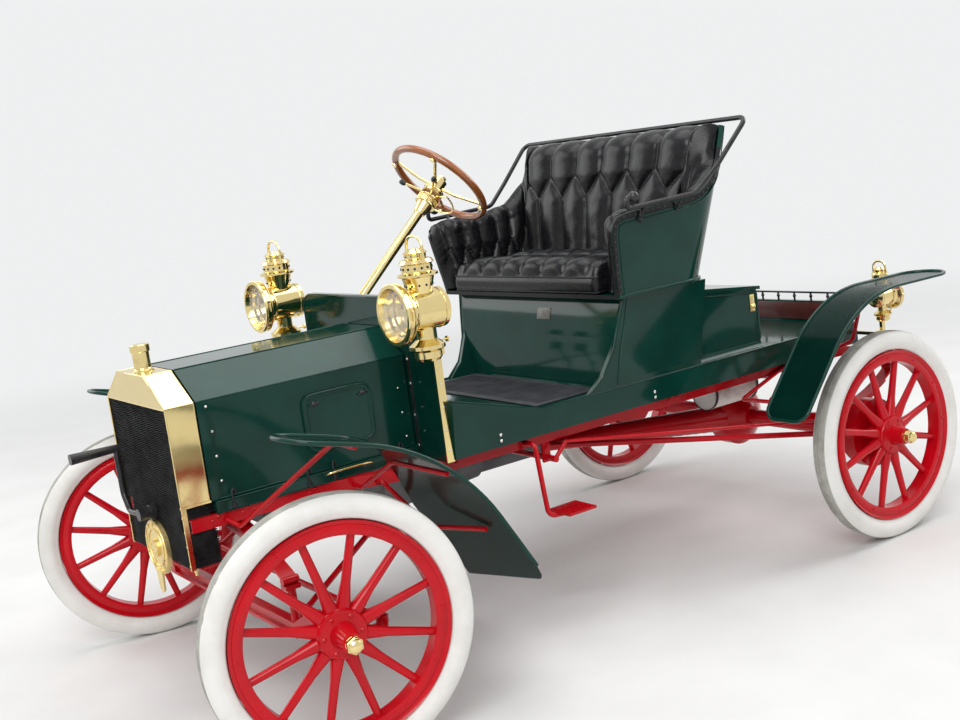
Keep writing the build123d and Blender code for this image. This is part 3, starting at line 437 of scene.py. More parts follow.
mirrored = [(-x, r) for x, r in reversed(half_profile[:-1])]
tyre_profile = half_profile + mirrored + half_profile[:1]
tread_half, tread_inside = 0.0215, 0.3505
for name, place in wheel_places.items():
    shape = move(lathe(tyre_profile, 112), place)
    wheel = f"wheel_{name}"
    tyre = piece(f"white_tyre_{name}", shape, white_rubber, wheel, sharp=50.0)
    tyre.data.materials.append(tread_rubber)
    for polygon in tyre.data.polygons:
        reach = place.inverted() @ polygon.center
        tread = math.hypot(reach.y, reach.z) > tread_inside and abs(reach.x) < tread_half
        polygon.material_index = int(tread)
    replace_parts(tyre, f"tyre_{name}")


# Hub caps: turned brass with hexagon flats for the wrench and a domed end;
# the rear ones are screwed on a longer plain barrel.
def brass_finish(name, rough, tarnish):
    material, shader, at = finish(name, metallic=1.0)
    cloud, speck = at.noise(11.0, 5.0, 0.6), at.noise(120.0, 4.0, 0.7)
    stain = (cloud * 0.7 + speck * 0.3).over(0.52, 0.80)
    (stain * tarnish).mix((0.82, 0.66, 0.31), (0.34, 0.21, 0.09)).into(shader, "Base Color")
    (rough + 0.12 * cloud + 0.18 * stain).into(shader, "Roughness")
    (speck * 0.6 + cloud).bump(0.10, 0.0008).into(shader, "Normal")
    return material


brass = brass_finish("polished_brass", 0.07, 0.5)
dull_brass = brass_finish("cast_brass", 0.24, 1.0)
bronze = brass_finish("old_bronze", 0.34, 2.6)
barrel = [(0.0, 0.0205), (0.006, 0.0205), (0.007, 0.018), (0.009, 0.018)]
flats = [(0.008, 0.0215), (0.0095, 0.0228), (0.0225, 0.0228), (0.024, 0.021)]
cap_end = [(0.023, 0.0188), (0.0285, 0.0172), (0.0325, 0.0135), (0.0350, 0.0085)]
for name, place in wheel_places.items():
    hub_nose = 0.0983 if name.startswith("front") else 0.0743
    cap = lathe([(0.0, 0.0), *barrel], 40)
    add(cap, knob(flats, 6))
    add(cap, knob(cap_end, 40, 0.0357))
    move(cap, place @ shift(hub_nose, 0, 0))
    made = piece(f"brass_cap_{name}", cap, brass, f"wheel_{name}", sharp=25.0)
    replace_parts(made, f"cap_{name}")


# Engine: one plain block with its flywheel and gear case, in dull grey casting,
# bolted to the frame's cross members.
casting = mottled(
    "grey_casting", (6.0, 5.0), (0.3, 0.7), (0.075, 0.075, 0.08), (0.16, 0.16, 0.165),
    rough=(0.5, 0.25, 240.0, 4.0, 0.6), bump=(0.3, 0.0008, 240.0, 4.0, 0.6),
    roughness=0.6, metallic=0.3,
)
soften("engine_block", casting)


# Muffler: a sheet drum in white heat enamel, smoked brown where it joins, hung
# by straps from the frame; two black bands hold its ends.
enamel = mottled(
    "white_enamel", (8.0, 5.0, 0.6), (0.45, 0.75), (0.74, 0.73, 0.70), (0.34, 0.30, 0.25),
    bump=(0.1, 0.001, 50.0, 4.0), roughness=0.35, coat=0.2,
)
soften("muffler", enamel)
iron_black = mottled(
    "black_enamel", (24.0, 4.0), (0.35, 0.7), (0.012, 0.012, 0.013), (0.028, 0.028, 0.03),
    rough=(0.2, 0.2, 70.0, 4.0), bump=(0.12, 0.0006, 190.0, 3.0),
    roughness=0.25, coat=0.15, specular=0.3,
)
bands = bmesh.new()
band_profile = [(-0.005, 0.0605), (-0.005, 0.0642), (0.005, 0.0642), (0.005, 0.0605)]
for y in (1.793, 1.997):
    add(bands, lathe(band_profile, 40), aim(car(0.200, y, 0.530), (0, 1, 0)))
piece("muffler_bands", bands, iron_black)


# Radiator core: thin black fins crimped on upright tubes, all dipped in
# matt black; the fins' edges wander a little, as hand-fitted ones do.
def box(size):
    """A plain box round the origin."""
    shape = bmesh.new()
    bmesh.ops.create_cube(shape, size=1.0)
    return move(shape, Matrix.Diagonal((*size, 1)))


def rod(sides, radius, length):
    """A straight rod along Z, round the origin."""
    shape = bmesh.new()
    sizes = {"radius1": radius, "radius2": radius, "depth": length}
    bmesh.ops.create_cone(shape, segments=sides, cap_ends=True, **sizes)
    return shape


# Real matt black on the radiator fins. The same black on the lamps' vent discs is painted shade for
# the holes.
fin_black_and_vent_shade = mottled(
    "matt_black_fins_and_vent_shade", (30.0, 4.0), (0.3, 0.75), (0.010, 0.010, 0.011), (0.045, 0.045, 0.048),
    bump=(0.2, 0.0006, 300.0, 3.0), roughness=0.55, specular=0.25,
)
core_low, core_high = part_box("radiator_core")
core = core_high - core_low
middle = (core_low + core_high) / 2
fins = move(box(core - Vector((0.012, 0.026, 0.004))), shift(*middle))
seam_z, seam_half = 0.586, 0.1935  # the fins stop short of the side plates' seam
fin_count, tube_count = 84, 24
for k in range(fin_count):
    z = core_low.z + 0.003 + k * (core.z - 0.006) / (fin_count - 1)
    half = core_high.x if abs(z - seam_z) > 0.0225 else seam_half
    fin = bmesh.new()
    bmesh.ops.create_grid(fin, x_segments=14, y_segments=1, size=0.5)
    move(fin, shift(0, middle.y, z) @ Matrix.Diagonal((2 * half, core.y, 1, 1)))
    for vert in fin.verts:
        wave = 0.0006 * math.sin(vert.co.x * 61 + k * 1.9)
        vert.co.z += wave + 0.0005 * math.sin(vert.co.x * 19 + k * 0.6)
    bmesh.ops.solidify(fin, geom=fin.faces, thickness=0.0009)
    add(fins, fin)
tube_low, tube_high = core_low.z + 0.004, core_high.z - 0.002
for k in range(tube_count):
    x = -0.210 + k * 0.420 / (tube_count - 1)
    for y in (core_low.y + 0.0105, core_high.y - 0.0105):
        if abs(x) < 0.190:
            tube = rod(8, 0.0032, tube_high - tube_low)
            add(fins, tube, shift(x, y, (tube_low + tube_high) / 2))
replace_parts(piece("radiator_fins", fins, fin_black_and_vent_shade), "radiator_core")


# Radiator shell: a folded brass tank and side plates with soldered, rolled
# edges, a turned filler neck and a knurled cap.
def line(points, way=1, back=0.0):
    """Points of the car, on the left for way 1 and mirrored for way -1."""
    return [car(way * x, y + back, z) for x, y, z in points]


def both_lines(routes):
    """Lines of the car on the left and on the right."""
    return [line(route, way) for route in routes for way in (-1, 1)]


def on_front(x, y, z):
    """A place of the car with X forwards."""
    return aim(car(x, y, z), (0, -1, 0))


def bar(points, radius, sides=3, closed=False, smooth=True):
    """A round bar that follows points, as a bmesh."""
    curve = bpy.data.curves.new("bar", "CURVE")
    curve.dimensions = "3D"
    curve.bevel_depth = radius
    curve.bevel_resolution = sides
    curve.use_fill_caps = not closed
    curve.resolution_u = 8
    spline = curve.splines.new("NURBS" if smooth else "POLY")
    spline.points.add(len(points) - 1)
    for spot, point in zip(spline.points, points):
        spot.co = (*point, 1.0)
    spline.use_cyclic_u = closed
    if smooth:
        spline.order_u = 3
        spline.use_endpoint_u = not closed
    holder = bpy.data.objects.new("bar", curve)
    mesh = bpy.data.meshes.new_from_object(holder)
    shape = bmesh.new()
    shape.from_mesh(mesh)
    bpy.data.objects.remove(holder)
    bpy.data.curves.remove(curve)
    bpy.data.meshes.remove(mesh)
    bmesh.ops.remove_doubles(shape, verts=shape.verts, dist=0.00001)
    return shape


def bar_piece(name, routes, radius, material, body="chassis"):
    """One piece made of several bars."""
    shape = bmesh.new()
    for route in routes:
        add(shape, bar(route, radius, smooth=False))
    return piece(name, shape, material, body)


soften("radiator_shell", brass, 28.0)
rad_front, rad_back, side_x = -0.189, -0.106, 0.2262
tank_line = [
    (-0.2275, 0.648), (-0.2275, 0.9172), (-0.1045, 0.9985),
    (0.1045, 0.9985), (0.2275, 0.9172), (0.2275, 0.648),
]
bead_y = rad_front + 0.001
rolled = [[car(x, y, z) for x, z in tank_line] for y in (bead_y, rad_back - 0.001)]
rolled.append(line([(0.223, bead_y, 0.9135), (-0.223, bead_y, 0.9135)]))
rolled += both_lines([[(side_x, bead_y, 0.468), (side_x, bead_y, 0.640)]])
rolled += both_lines([(x, rad_front, z), (x, rad_back, z)] for x, z in tank_line[1:3])
bar_piece("rolled_brass_edges", rolled, 0.0022, brass)
collar = [(0.998, 0.031), (1.003, 0.0305), (1.0055, 0.026), (1.009, 0.0246)]
filler = lathe([(0.998, 0.0), *collar], 40)
filler_cap = [(1.054, 0.0262), (1.0565, 0.0272), (1.0735, 0.0272), (1.0760, 0.0250)]
add(filler, knob(filler_cap, 40, 1.0765))
for spot in circle(40, 1.065, 0.0268):
    add(filler, rod(6, 0.0012, 0.015), shift(*spot) @ turned(90, "Y"))
move(filler, aim(car(0.0, (rad_front + rad_back) / 2, 0.0), (0, 0, 1)))
piece("filler_collar", filler, brass, sharp=28.0)
studs = bmesh.new()
for way in (-1, 1):
    for z in (0.480, 0.535, 0.575, 0.615):
        add(studs, bolt_head(0.007, 0.0022, 12), on_front(way * side_x, rad_front - 0.0002, z))
drain = knob([(0.0, 0.007), (0.010, 0.007), (0.012, 0.0045), (0.020, 0.0045)], 16)
add(studs, drain, aim(car(0.208, rad_front + 0.02, 0.4662), (0, 0, -1)))
piece("radiator_studs", studs, dull_brass)


# Hood: folded sheet, double varnished in deep green, with a raised door each
# side, bright rivets near both ends, and a blank boss that covers a strap.
green_paint = gloss_paint("green_coach_paint", (0.003, 0.046, 0.033), (0.002, 0.032, 0.023), 0.07)
for name in ("hood", "hood_ledges", "dash_board", "box_lid"):
    soften(name, green_paint)
hood_folds = ((0.2298, 0.6425), (0.2278, 0.9185), (0.106, 0.9995))
trim = both_lines([(x, -0.098, z), (x, 0.558, z)] for x, z in hood_folds)
bar_piece("hood_beads", trim, 0.0024, green_paint, "hood")


def rounded(corners, radius, steps=5):
    """Corner points of a flat outline, each corner turned into a short arc."""
    points = []
    for k, corner in enumerate(corners):
        here = Vector(corner)
        before = (Vector(corners[k - 1]) - here).normalized()
        after = (Vector(corners[(k + 1) % len(corners)]) - here).normalized()
        for step in range(steps + 1):
            t = step / steps
            points.append(here + before * radius * (1 - t) ** 2 + after * radius * t ** 2)
    return points


door_frame = bmesh.new()
for way in (-1, 1):
    for inset, radius, thick in ((0.0, 0.034, 0.0032), (0.011, 0.026, 0.0014)):
        front, rear, low, high = 0.210 + inset, 0.428 - inset, 0.702 + inset, 0.866 - inset
        corners = rounded([(front, low), (front, high), (rear, high), (rear, low)], radius)
        route = line([(0.2362, p.x, p.y) for p in corners], way)
        add(door_frame, bar(route, thick, closed=True, smooth=False))
piece("hood_door_beads", door_frame, green_paint, "hood")
latches, heads, straps = bmesh.new(), bmesh.new(), bmesh.new()
rivet_spots = [
    (0.229, -0.0732, 0.9007), (0.229, -0.0657, 0.7603), (0.229, -0.0632, 0.6903),
    (0.229, 0.5276, 0.8235), (0.229, 0.531, 0.7477), (0.229, 0.5349, 0.6743),
]
button = knob([(0.0, 0.007), (0.003, 0.007), (0.0045, 0.005)], 16)
both_sides(latches, button, [(0.2358, 0.2420, 0.839), (0.2358, 0.402, 0.839)])
dome = knob([(-0.001, 0.0042), (0.0012, 0.0038), (0.0026, 0.002)], 12, 0.003)
both_sides(heads, dome, rivet_spots)
boss = knob([(0.0, 0.004), (0.002, 0.0036)], 12, 0.003)
both_sides(heads, boss, [(0.2308, -0.068, 0.831)])
for way in (-1, 1):
    for y in (0.2420, 0.402):
        grip = [(0.2395, -0.016, 0.835), (0.2425, 0.0, 0.839), (0.2395, 0.016, 0.843)]
        add(latches, bar(line(grip, way, y), 0.0022))
    plate = bmesh.new()
    bmesh.ops.create_circle(plate, cap_ends=True, segments=20, radius=1.0)
    move(plate, Matrix.Diagonal((0.009, 0.017, 1, 1)))
    solid = bmesh.ops.extrude_face_region(plate, geom=plate.faces)
    lifted = [item for item in solid["geom"] if isinstance(item, bmesh.types.BMVert)]
    bmesh.ops.translate(plate, vec=(0, 0, 0.0022), verts=lifted)
    upright = turned(90 * way, "Y") @ turned(90, "Z")
    add(straps, plate, put(way * 0.2288, -0.068, 0.829) @ upright)
    add(straps, box((0.0016, 0.005, 0.145)), put(way * 0.2296, -0.0665, 0.745))
piece("hood_latches", latches, iron_black, "hood")
bright = mottled(
    "bright_steel", (40.0, 4.0), (0.3, 0.7), (0.62, 0.61, 0.58), (0.78, 0.77, 0.74),
    rough=(0.15, 0.2, 90.0, 3.0), roughness=0.22, metallic=1.0,
)
piece("hood_rivets", heads, bright, "hood")
piece("hood_straps", straps, green_paint, "hood")


# Hood hooks and sill beads: bent black hooks spring over the hood's lower
# edge, and a brass grab rod lies along the sill behind the front fender iron.
hooks = bmesh.new()
hook_line = [
    (0.2405, 0.0, 0.612), (0.2405, -0.002, 0.634), (0.2405, -0.004, 0.652),
    (0.2365, 0.002, 0.664), (0.2345, 0.009, 0.658), (0.2355, 0.010, 0.646),
]
for y in (-0.041, 0.192, 0.274, 0.500):
    hook_foot = knob([(-0.0012, 0.008), (0.003, 0.008), (0.004, 0.006)], 14)
    both_sides(hooks, hook_foot, [(0.2382, y, 0.616)])
    for way in (-1, 1):
        add(hooks, bar(line(hook_line, way, y), 0.0028))
piece("hood_hooks", hooks, iron_black)
sill_rows = ((0.2375, 0.6365), (0.2380, 0.6065))
sill_beads = both_lines([(x, -0.090, z), (x, 0.564, z)] for x, z in sill_rows)
bar_piece("sill_beads", sill_beads, 0.0022, green_paint)
grab = line([
    (0.2385, 0.247, 0.628), (0.2500, 0.250, 0.632), (0.2540, 0.262, 0.6345),
    (0.2540, 0.330, 0.6350), (0.2540, 0.385, 0.6345), (0.2500, 0.397, 0.632),
    (0.2385, 0.400, 0.628),
])
piece("brass_grab_rod", bar(grab, 0.0032), brass)


# Dash: a laminated board under green paint with a raised bead, brass edging
# screwed down both sides, and a black leather lacing strip behind the hood.
def block(size, round_by=0.001):
    """A box of a size round the origin, its edges eased."""
    shape = box(size)
    bmesh.ops.bevel(
        shape, geom=shape.edges, offset=round_by, offset_type="OFFSET", affect="EDGES",
        segments=2, profile=0.5, material=-1,
    )
    return shape


soften("dash_edging", brass, 30.0)
dash_front, dash_back = 0.566, 0.588
arc = [(0.335 + p.y, 1.037 + p.z) for p in list(circle(32, 0.0, 0.051))[:9]]
half = [(0.386, 0.62)] + arc
bead = bmesh.new()
for y in (dash_front, dash_back):
    route = [(x, y, z) for x, z in half] + [(-x, y, z) for x, z in reversed(half)]
    add(bead, bar(line(route), 0.0028, smooth=False))
piece("dash_bead", bead, green_paint)
lacing, lacing_heads = bmesh.new(), bmesh.new()
lacing_x = 0.2450
for way in (-1, 1):
    strip = put(way * lacing_x, dash_front - 0.0014, 0.772)
    add(lacing, block((0.013, 0.0032, 0.290), 0.0012), strip)
    for z in (0.642, 0.735, 0.832, 0.905):
        dome = knob([(-0.001, 0.0050), (0.0015, 0.0045), (0.003, 0.0025)], 14, 0.0035)
        add(lacing_heads, dome, on_front(way * lacing_x, dash_front - 0.0030, z))
screw = knob([(-0.001, 0.0038), (0.0012, 0.0034)], 12, 0.002)
screw_heights = (0.640, 0.700, 0.770, 0.840, 0.905)
both_sides(lacing_heads, screw, [(0.3953, 0.575, z) for z in screw_heights])
piece("lacing_strips", lacing, iron_black)
piece("dash_screws", lacing_heads, bright)


# Body: a wooden tub panelled in sheet and painted green. Half-round beads run
# along the sill's top, round the rear box, the flared pedestal and the seat.
pedestal_foot, pedestal_rise, foot_half, flare_out = 0.681, 0.297, 0.398, 0.062


def flare(z):
    """Half width of the pedestal's sides at a height."""
    return foot_half + flare_out * (z - pedestal_foot) / pedestal_rise


tub = bmesh.new()
tub.from_mesh(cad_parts["body_tub"].data)
bmesh.ops.remove_doubles(tub, verts=tub.verts, dist=0.00001)
for y in (1.5985, 1.6000):
    everything = list(tub.verts) + list(tub.edges) + list(tub.faces)
    cut = {"plane_co": car(0, y, 0), "plane_no": (0, 1, 0)}
    bmesh.ops.bisect_plane(tub, geom=everything, dist=0.00001, **cut)
cheek_back, cheek_foot, cheek_inside, cheek_outside = 1.5990, 0.680, 0.350, 0.3725
for vert in tub.verts:
    half = abs(vert.co.x)
    if half > cheek_inside and vert.co.y - axle_y < cheek_back and vert.co.z > cheek_foot:
        wide = flare(vert.co.z)
        spread = half + wide - 0.372 if half < cheek_outside else wide
        vert.co.x = math.copysign(max(half, spread), vert.co.x)
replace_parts(piece("tub_panels", tub, green_paint, sharp=32.0), "body_tub")
cheek = [
    (1.241, 0.974), (1.222, 0.892), (1.207, 0.820), (1.186, 0.776), (1.163, 0.735), (1.106, 0.6865),
]
seam = [(1.2560, 0.972), (1.2480, 0.892), (1.2350, 0.820), (1.2270, 0.698)]
box_x = 0.3724
body_beads = both_lines([
    [(0.3990, 0.589, 0.7828), (0.3990, 0.928, 0.6863), (0.3990, 2.398, 0.6863)],
    [(flare(z) - 0.0005, y, z) for y, z in cheek],
    [(flare(z) + 0.0002, y, z) for y, z in seam],
    [(box_x, 1.655, 0.905), (box_x, 1.919, 0.876)],
    [(box_x, 1.919, 0.876), (box_x, 1.919, 0.714)],
])
body_beads.append(line([(-0.446, 1.2405, 0.9745), (0.446, 1.2405, 0.9745)]))
bar_piece("body_beads", body_beads, 0.0034, green_paint)
body_bolts = bmesh.new()
sill_bolts = [
    # y from the front axle, z
    (0.7556, 0.644), (0.7556, 0.626), (1.3803, 0.641), (1.3803, 0.623),
    (2.060, 0.641), (2.060, 0.623), (0.6097, 0.7449),
]
dome = knob([(-0.001, 0.0055), (0.0018, 0.005), (0.0034, 0.003)], 14, 0.004)
both_sides(body_bolts, dome, [(0.400, y, z) for y, z in sill_bolts])
piece("body_bolt_heads", body_bolts, bright)


# Rear box and tail board: the lid turns on hinges and is held by a brass hasp
# on each side; the board inside the gallery rail is varnished dark red.
board_red = mottled(
    "dark_red_board", (20.0, 5.0, 0.6), (0.3, 0.7), (0.10, 0.018, 0.014), (0.055, 0.010, 0.009),
    rough=(0.3, 0.2, 60.0, 4.0), roughness=0.35, coat=0.3,
)
board = move(block((0.740, 0.002, 0.066)), put(0.0, 2.3792, 0.7245))
piece("tail_board_lining", board, board_red)
hasps = bmesh.new()
hasp_y, hasp_x = 1.893, 0.3755
for way in (-1, 1):
    add(hasps, block((0.004, 0.022, 0.060), 0.0015), put(way * 0.3738, hasp_y, 0.845))
staple = knob([(0.0, 0.0085), (0.006, 0.0085), (0.009, 0.006)], 18, 0.010)
both_sides(hasps, staple, [(hasp_x, hasp_y, 0.834)])
both_sides(hasps, bolt_head(0.006, 0.002, 12), [(hasp_x, hasp_y, z) for z in (0.868, 0.821)])
piece("box_hasps", hasps, dull_brass)
soften("gallery_rail", iron_black)
rail_balls = bmesh.new()
for k in range(10):
    ball = bmesh.new()
    bmesh.ops.create_icosphere(ball, subdivisions=2, radius=0.0068)
    add(rail_balls, ball, put(-0.364 + k * 0.728 / 9, 2.391, 0.7795))
piece("gallery_balls", rail_balls, iron_black)


# Floor mat: moulded rubber with low ribs across the car, laid loose in the
# foot well from the toe board to the riser under the seat.
mat_rubber = mottled(
    "mat_rubber", (14.0, 5.0, 0.6), (0.35, 0.7), (0.018, 0.019, 0.024), (0.042, 0.043, 0.050),
    rough=(0.55, 0.3, 50.0, 4.0), bump=(0.25, 0.0008, 260.0, 3.0), roughness=0.7,
)
mat = block((0.700, 0.255, 0.004), 0.0015)
for k in range(44):
    rib = box((0.0062, 0.205, 0.003))
    for vert in rib.verts:
        if vert.co.z > 0:
            vert.co.x *= 0.5
            vert.co.y *= 0.985
    add(mat, rib, shift(-0.3225 + k * 0.015, 0.0, 0.0030))
piece("floor_mat", move(mat, put(0.0, 1.062, 0.6874)), mat_rubber)


# Riser board: a green panel under the seat's front edge, let in between the
# flared cheeks and leaning back with them from the floor to the seat.
riser_y, riser_z, riser_lean = 1.2286, 0.913, 0.2154
riser_board = block((0.800, 0.004, 0.128), 0.0003)
for vert in riser_board.verts:
    rise = vert.co.z
    vert.co.x = math.copysign(flare(riser_z + rise) - 0.016, vert.co.x)
    vert.co += car(0, riser_y + riser_lean * rise, riser_z)
piece("riser_board", riser_board, green_paint)


# Riser plate: a small blank plate of worn nickel, held by four screws to the
# riser under the seat.
plate_nickel = mottled(
    "worn_nickel", (60.0, 4.0), (0.3, 0.7), (0.10, 0.10, 0.095), (0.18, 0.175, 0.16),
    roughness=0.45, metallic=0.8,
)
riser_plate = block((0.074, 0.0018, 0.040), 0.0007)
for x in (-0.032, 0.032):
    for z in (-0.015, 0.015):
        screw = knob([(-0.001, 0.0025), (0.0012, 0.002)], 10, 0.0014)
        add(riser_plate, screw, aim((x, -0.0008, z), (0, -1, 0)))
move(riser_plate, put(0.06, 1.2268, 0.918) @ turned(-12.1, "X"))
piece("blank_plate", riser_plate, plate_nickel)


# Upholstery band: black leather buttoned over horsehair round the arms and
# back, its pleats running from the buttons over the rolled top to the shell.
leather, shader, at = finish("black_leather", roughness=0.3, specular=0.26)
grain, crease = at.noise(420.0, 3.0, 0.6), at.noise(34.0, 5.0, 0.65)
crease.over(0.35, 0.75).mix((0.005, 0.005, 0.006), (0.012, 0.012, 0.014)).into(shader, "Base Color")
(0.15 + 0.22 * at.noise(15.0, 4.0)).into(shader, "Roughness")
(grain * 0.4 + crease).bump(0.35, 0.0012).into(shader, "Normal")
seat_base, seat_top, corner_r, side_flare, back_flare = 0.978, 1.462, 0.104, 0.082, 0.110
arm_top = [
    # y from the front axle, height of the arm's edge
    (1.172, 1.190), (1.180, 1.216), (1.196, 1.232), (1.228, 1.2405), (1.500, 1.2562),
    (1.540, 1.2645), (1.570, 1.2820), (1.634, 1.3330), (1.655, 1.3535), (1.672, 1.3780),
    (1.683, 1.4020), (1.704, 1.4620),
]


def clamp(value):
    return min(max(value, 0.0), 1.0)


def smooth(value, low, high):
    t = clamp((value - low) / (high - low))
    return t * t * (3 - 2 * t)


def along(table, value):
    """Read a table of (key, value) pairs between its rows."""
    for (key0, value0), (key1, value1) in zip(table, table[1:]):
        if value <= key1:
            return value0 + (value1 - value0) * max(value - key0, 0.0) / (key1 - key0)
    return table[-1][1]


def shell_inside(q, z):
    """A point of the shell's inner face and the way inwards. q runs from -3 at
    the right arm's front over -2..-1 and 1..2, the corners, to 3 at the left."""
    t = (z - seat_base) / (seat_top - seat_base)
    half, rear = 0.466 + side_flare * t, 1.598 + back_flare * t
    way, part = 1 if q > 0 else -1, abs(q)
    if part < 1:
        return Vector((q * (half - corner_r), rear, z)), Vector((0, -1, 0))
    if part < 2:
        a = (part - 1) * math.pi / 2
        x = way * (half - corner_r * (1 - math.sin(a)))
        spot = Vector((x, rear - corner_r * (1 - math.cos(a)), z))
        return spot, Vector((-way * math.sin(a), -math.cos(a), 0))
    front = 1.172 + 0.028 * smooth(1.24 - z, 0.0, 0.30)
    y = rear - corner_r + (part - 2) * (front - rear + corner_r)
    return Vector((way * half, y, z)), Vector((-way, 0, 0))


back_pleats, corner_pleats, arm_pleats = 3, 1.5, 5


def pleats(q):
    """Pleat number at q: wide ones on the back, narrow ones on the arms."""
    part = abs(q)
    count = back_pleats * min(part, 1) + corner_pleats * clamp(part - 1)
    return math.copysign(count + arm_pleats * max(part - 2, 0), q)


def pillow(number, fold):
    """Height of the padding, 0 in a crease to 1. fold is 0 above the upper
    row of buttons, 1 below the lower row, and the diamonds lie between."""
    off = abs(number - round(number))
    reach = fold / 2
    room = max(reach, 0.0001) if off < reach else max(0.5 - reach, 0.0001)
    t = min(abs(off - reach) / room, 1.0)
    return math.sqrt(1 - (1 - t) ** 2) * math.sqrt(min(2 * room, 1.0))


edge_heights = {}


def edge_height(q):
    """Height of the shell's outer top edge at q, found by halving."""
    key = round(abs(q), 5)
    if key not in edge_heights:
        low, high = 1.10, seat_top
        for _ in range(18 if key > 1 else 0):
            z = (low + high) / 2
            spot, inward = shell_inside(key, z)
            kept = z <= along(arm_top, (spot - inward * 0.013).y)
            low, high = (z, high) if kept else (low, z)
        edge_heights[key] = high
    return edge_heights[key]


def band_frame(q):
    """Edge height, padding thickness, button rows, pleat depth, and 1 on the back."""
    back = 1 - smooth(abs(q), 0.8, 1.9)
    front = math.sqrt(1 - (1 - min((3.0001 - abs(q)) / 0.16, 1.0)) ** 2)
    thick = (0.060 + 0.045 * back) * (0.08 + 0.92 * front)
    upper, lower = 1.150 + 0.203 * back, 1.070 + 0.203 * back
    return edge_height(q), thick, upper, lower, (0.018 + 0.012 * back) * front, back


band_foot, leather_end, backing_end, roll_length = 1.000, 0.9, 0.96, 0.11
roll_turn = math.radians(122)


def band_point(u, v):
    """A point of the closed band: v up to 0.9 is the leather, above it the backing."""
    q = 6 * u - 3
    edge, thick, upper, lower, depth, back = band_frame(q)
    roll = 0.044 + 0.014 * back
    if v > backing_end:
        spot, inward = shell_inside(q, band_foot)
        first = band_point(u, 0.0)[0]
        return (spot + inward * 0.0012).lerp(first, (v - backing_end) / (1 - backing_end)), -1.0
    if v > leather_end:
        down = (v - leather_end) / (backing_end - leather_end)
        spot, inward = shell_inside(q, edge - 0.003 + (band_foot + 0.003 - edge) * down)
        return spot + inward * 0.0012, -1.0
    rise = edge - roll - band_foot
    bend = v / leather_end * (rise + roll_length) - rise
    z, a = band_foot + bend + rise, 0.0
    if bend >= 0:
        z, a = edge - roll, bend / roll_length * roll_turn
    wide = (thick + 0.013) / (1 - math.cos(roll_turn))
    along_in = thick - wide + wide * math.cos(a)
    lift = (roll + 0.010 * min(thick / 0.05, 1.0)) * math.sin(a)
    fold = clamp((upper - z) / (upper - lower))
    hollow = depth * (1 - pillow(pleats(q), fold)) * (1 - smooth(a, roll_turn * 0.62, roll_turn))
    spot, inward = shell_inside(q, z)
    normal = inward * math.cos(a) + Vector((0, 0, math.sin(a)))
    wander = noise.noise(spot * 21.0) * 0.0022 + noise.noise(spot * 60.0) * 0.0007
    sag = 0.006 * back * math.sin(clamp((z - 1.1) / 0.36) * math.pi)
    padded = spot + inward * along_in + Vector((0, 0, lift))
    return padded - normal * (hollow - wander - sag), hollow


def padding(name, columns, rows, place, cap):
    """A closed padded form: a grid bent round by place(u, v), blown up between
    its pinned creases by a cloth simulation, no point further than cap."""
    shape = bmesh.new()
    bmesh.ops.create_grid(shape, x_segments=columns, y_segments=rows, size=0.5)
    pins = shape.verts.layers.float.new("pin")
    for vert in shape.verts:
        spot, vert[pins] = place(vert.co.x + 0.5, vert.co.y + 0.5)
        vert.co = spot + car(0, 0, 0)
    bmesh.ops.remove_doubles(shape, verts=shape.verts, dist=0.00002)
    rim = [edge for edge in shape.edges if edge.is_boundary]
    bmesh.ops.holes_fill(shape, edges=rim, sides=0)
    made = piece(name, shape, leather, sharp=70.0)
    swell(made, cap)
    return made


def swell(made, cap):
    """Blow a piece up as cloth under pressure. The points are held where the
    hollow is deep, and everywhere on the backing."""
    mesh = made.data
    start = [vert.co.copy() for vert in mesh.vertices]
    hollows = [item.value for item in mesh.attributes["pin"].data]
    deepest = max(hollows)
    group = made.vertex_groups.new(name="sewn")
    for index, hollow in enumerate(hollows):
        held = 1.0 if hollow <= 0.0 else smooth(hollow, 0.35 * deepest, 0.95 * deepest)
        group.add([index], held, "REPLACE")
    cloth = made.modifiers.new("swell", "CLOTH")
    leather_cloth = {
        "quality": 4, "mass": 0.4, "tension_stiffness": 18.0, "compression_stiffness": 12.0,
        "bending_stiffness": 0.6, "vertex_group_mass": "sewn", "use_pressure": True,
        "uniform_pressure_force": 4.0,
    }
    for setting, value in leather_cloth.items():
        setattr(cloth.settings, setting, value)
    cloth.settings.effector_weights.gravity = 0.0
    cloth.collision_settings.use_collision = False
    last_frame = 16
    cloth.point_cache.frame_start = 1
    cloth.point_cache.frame_end = last_frame
    for step in range(1, last_frame + 1):
        bpy.context.scene.frame_set(step)
    swollen = made.evaluated_get(bpy.context.evaluated_depsgraph_get()).to_mesh()
    for vert, moved, before in zip(mesh.vertices, swollen.vertices, start):
        drift = moved.co - before
        vert.co = before + drift * min(1.0, cap / max(drift.length, 0.00001))
    made.evaluated_get(bpy.context.evaluated_depsgraph_get()).to_mesh_clear()
    made.modifiers.remove(cloth)
    made.vertex_groups.remove(group)
    bpy.context.scene.frame_set(1)


band = padding("tufted_band", 400, 76, band_point, 0.012)
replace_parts(band, "seat_back")


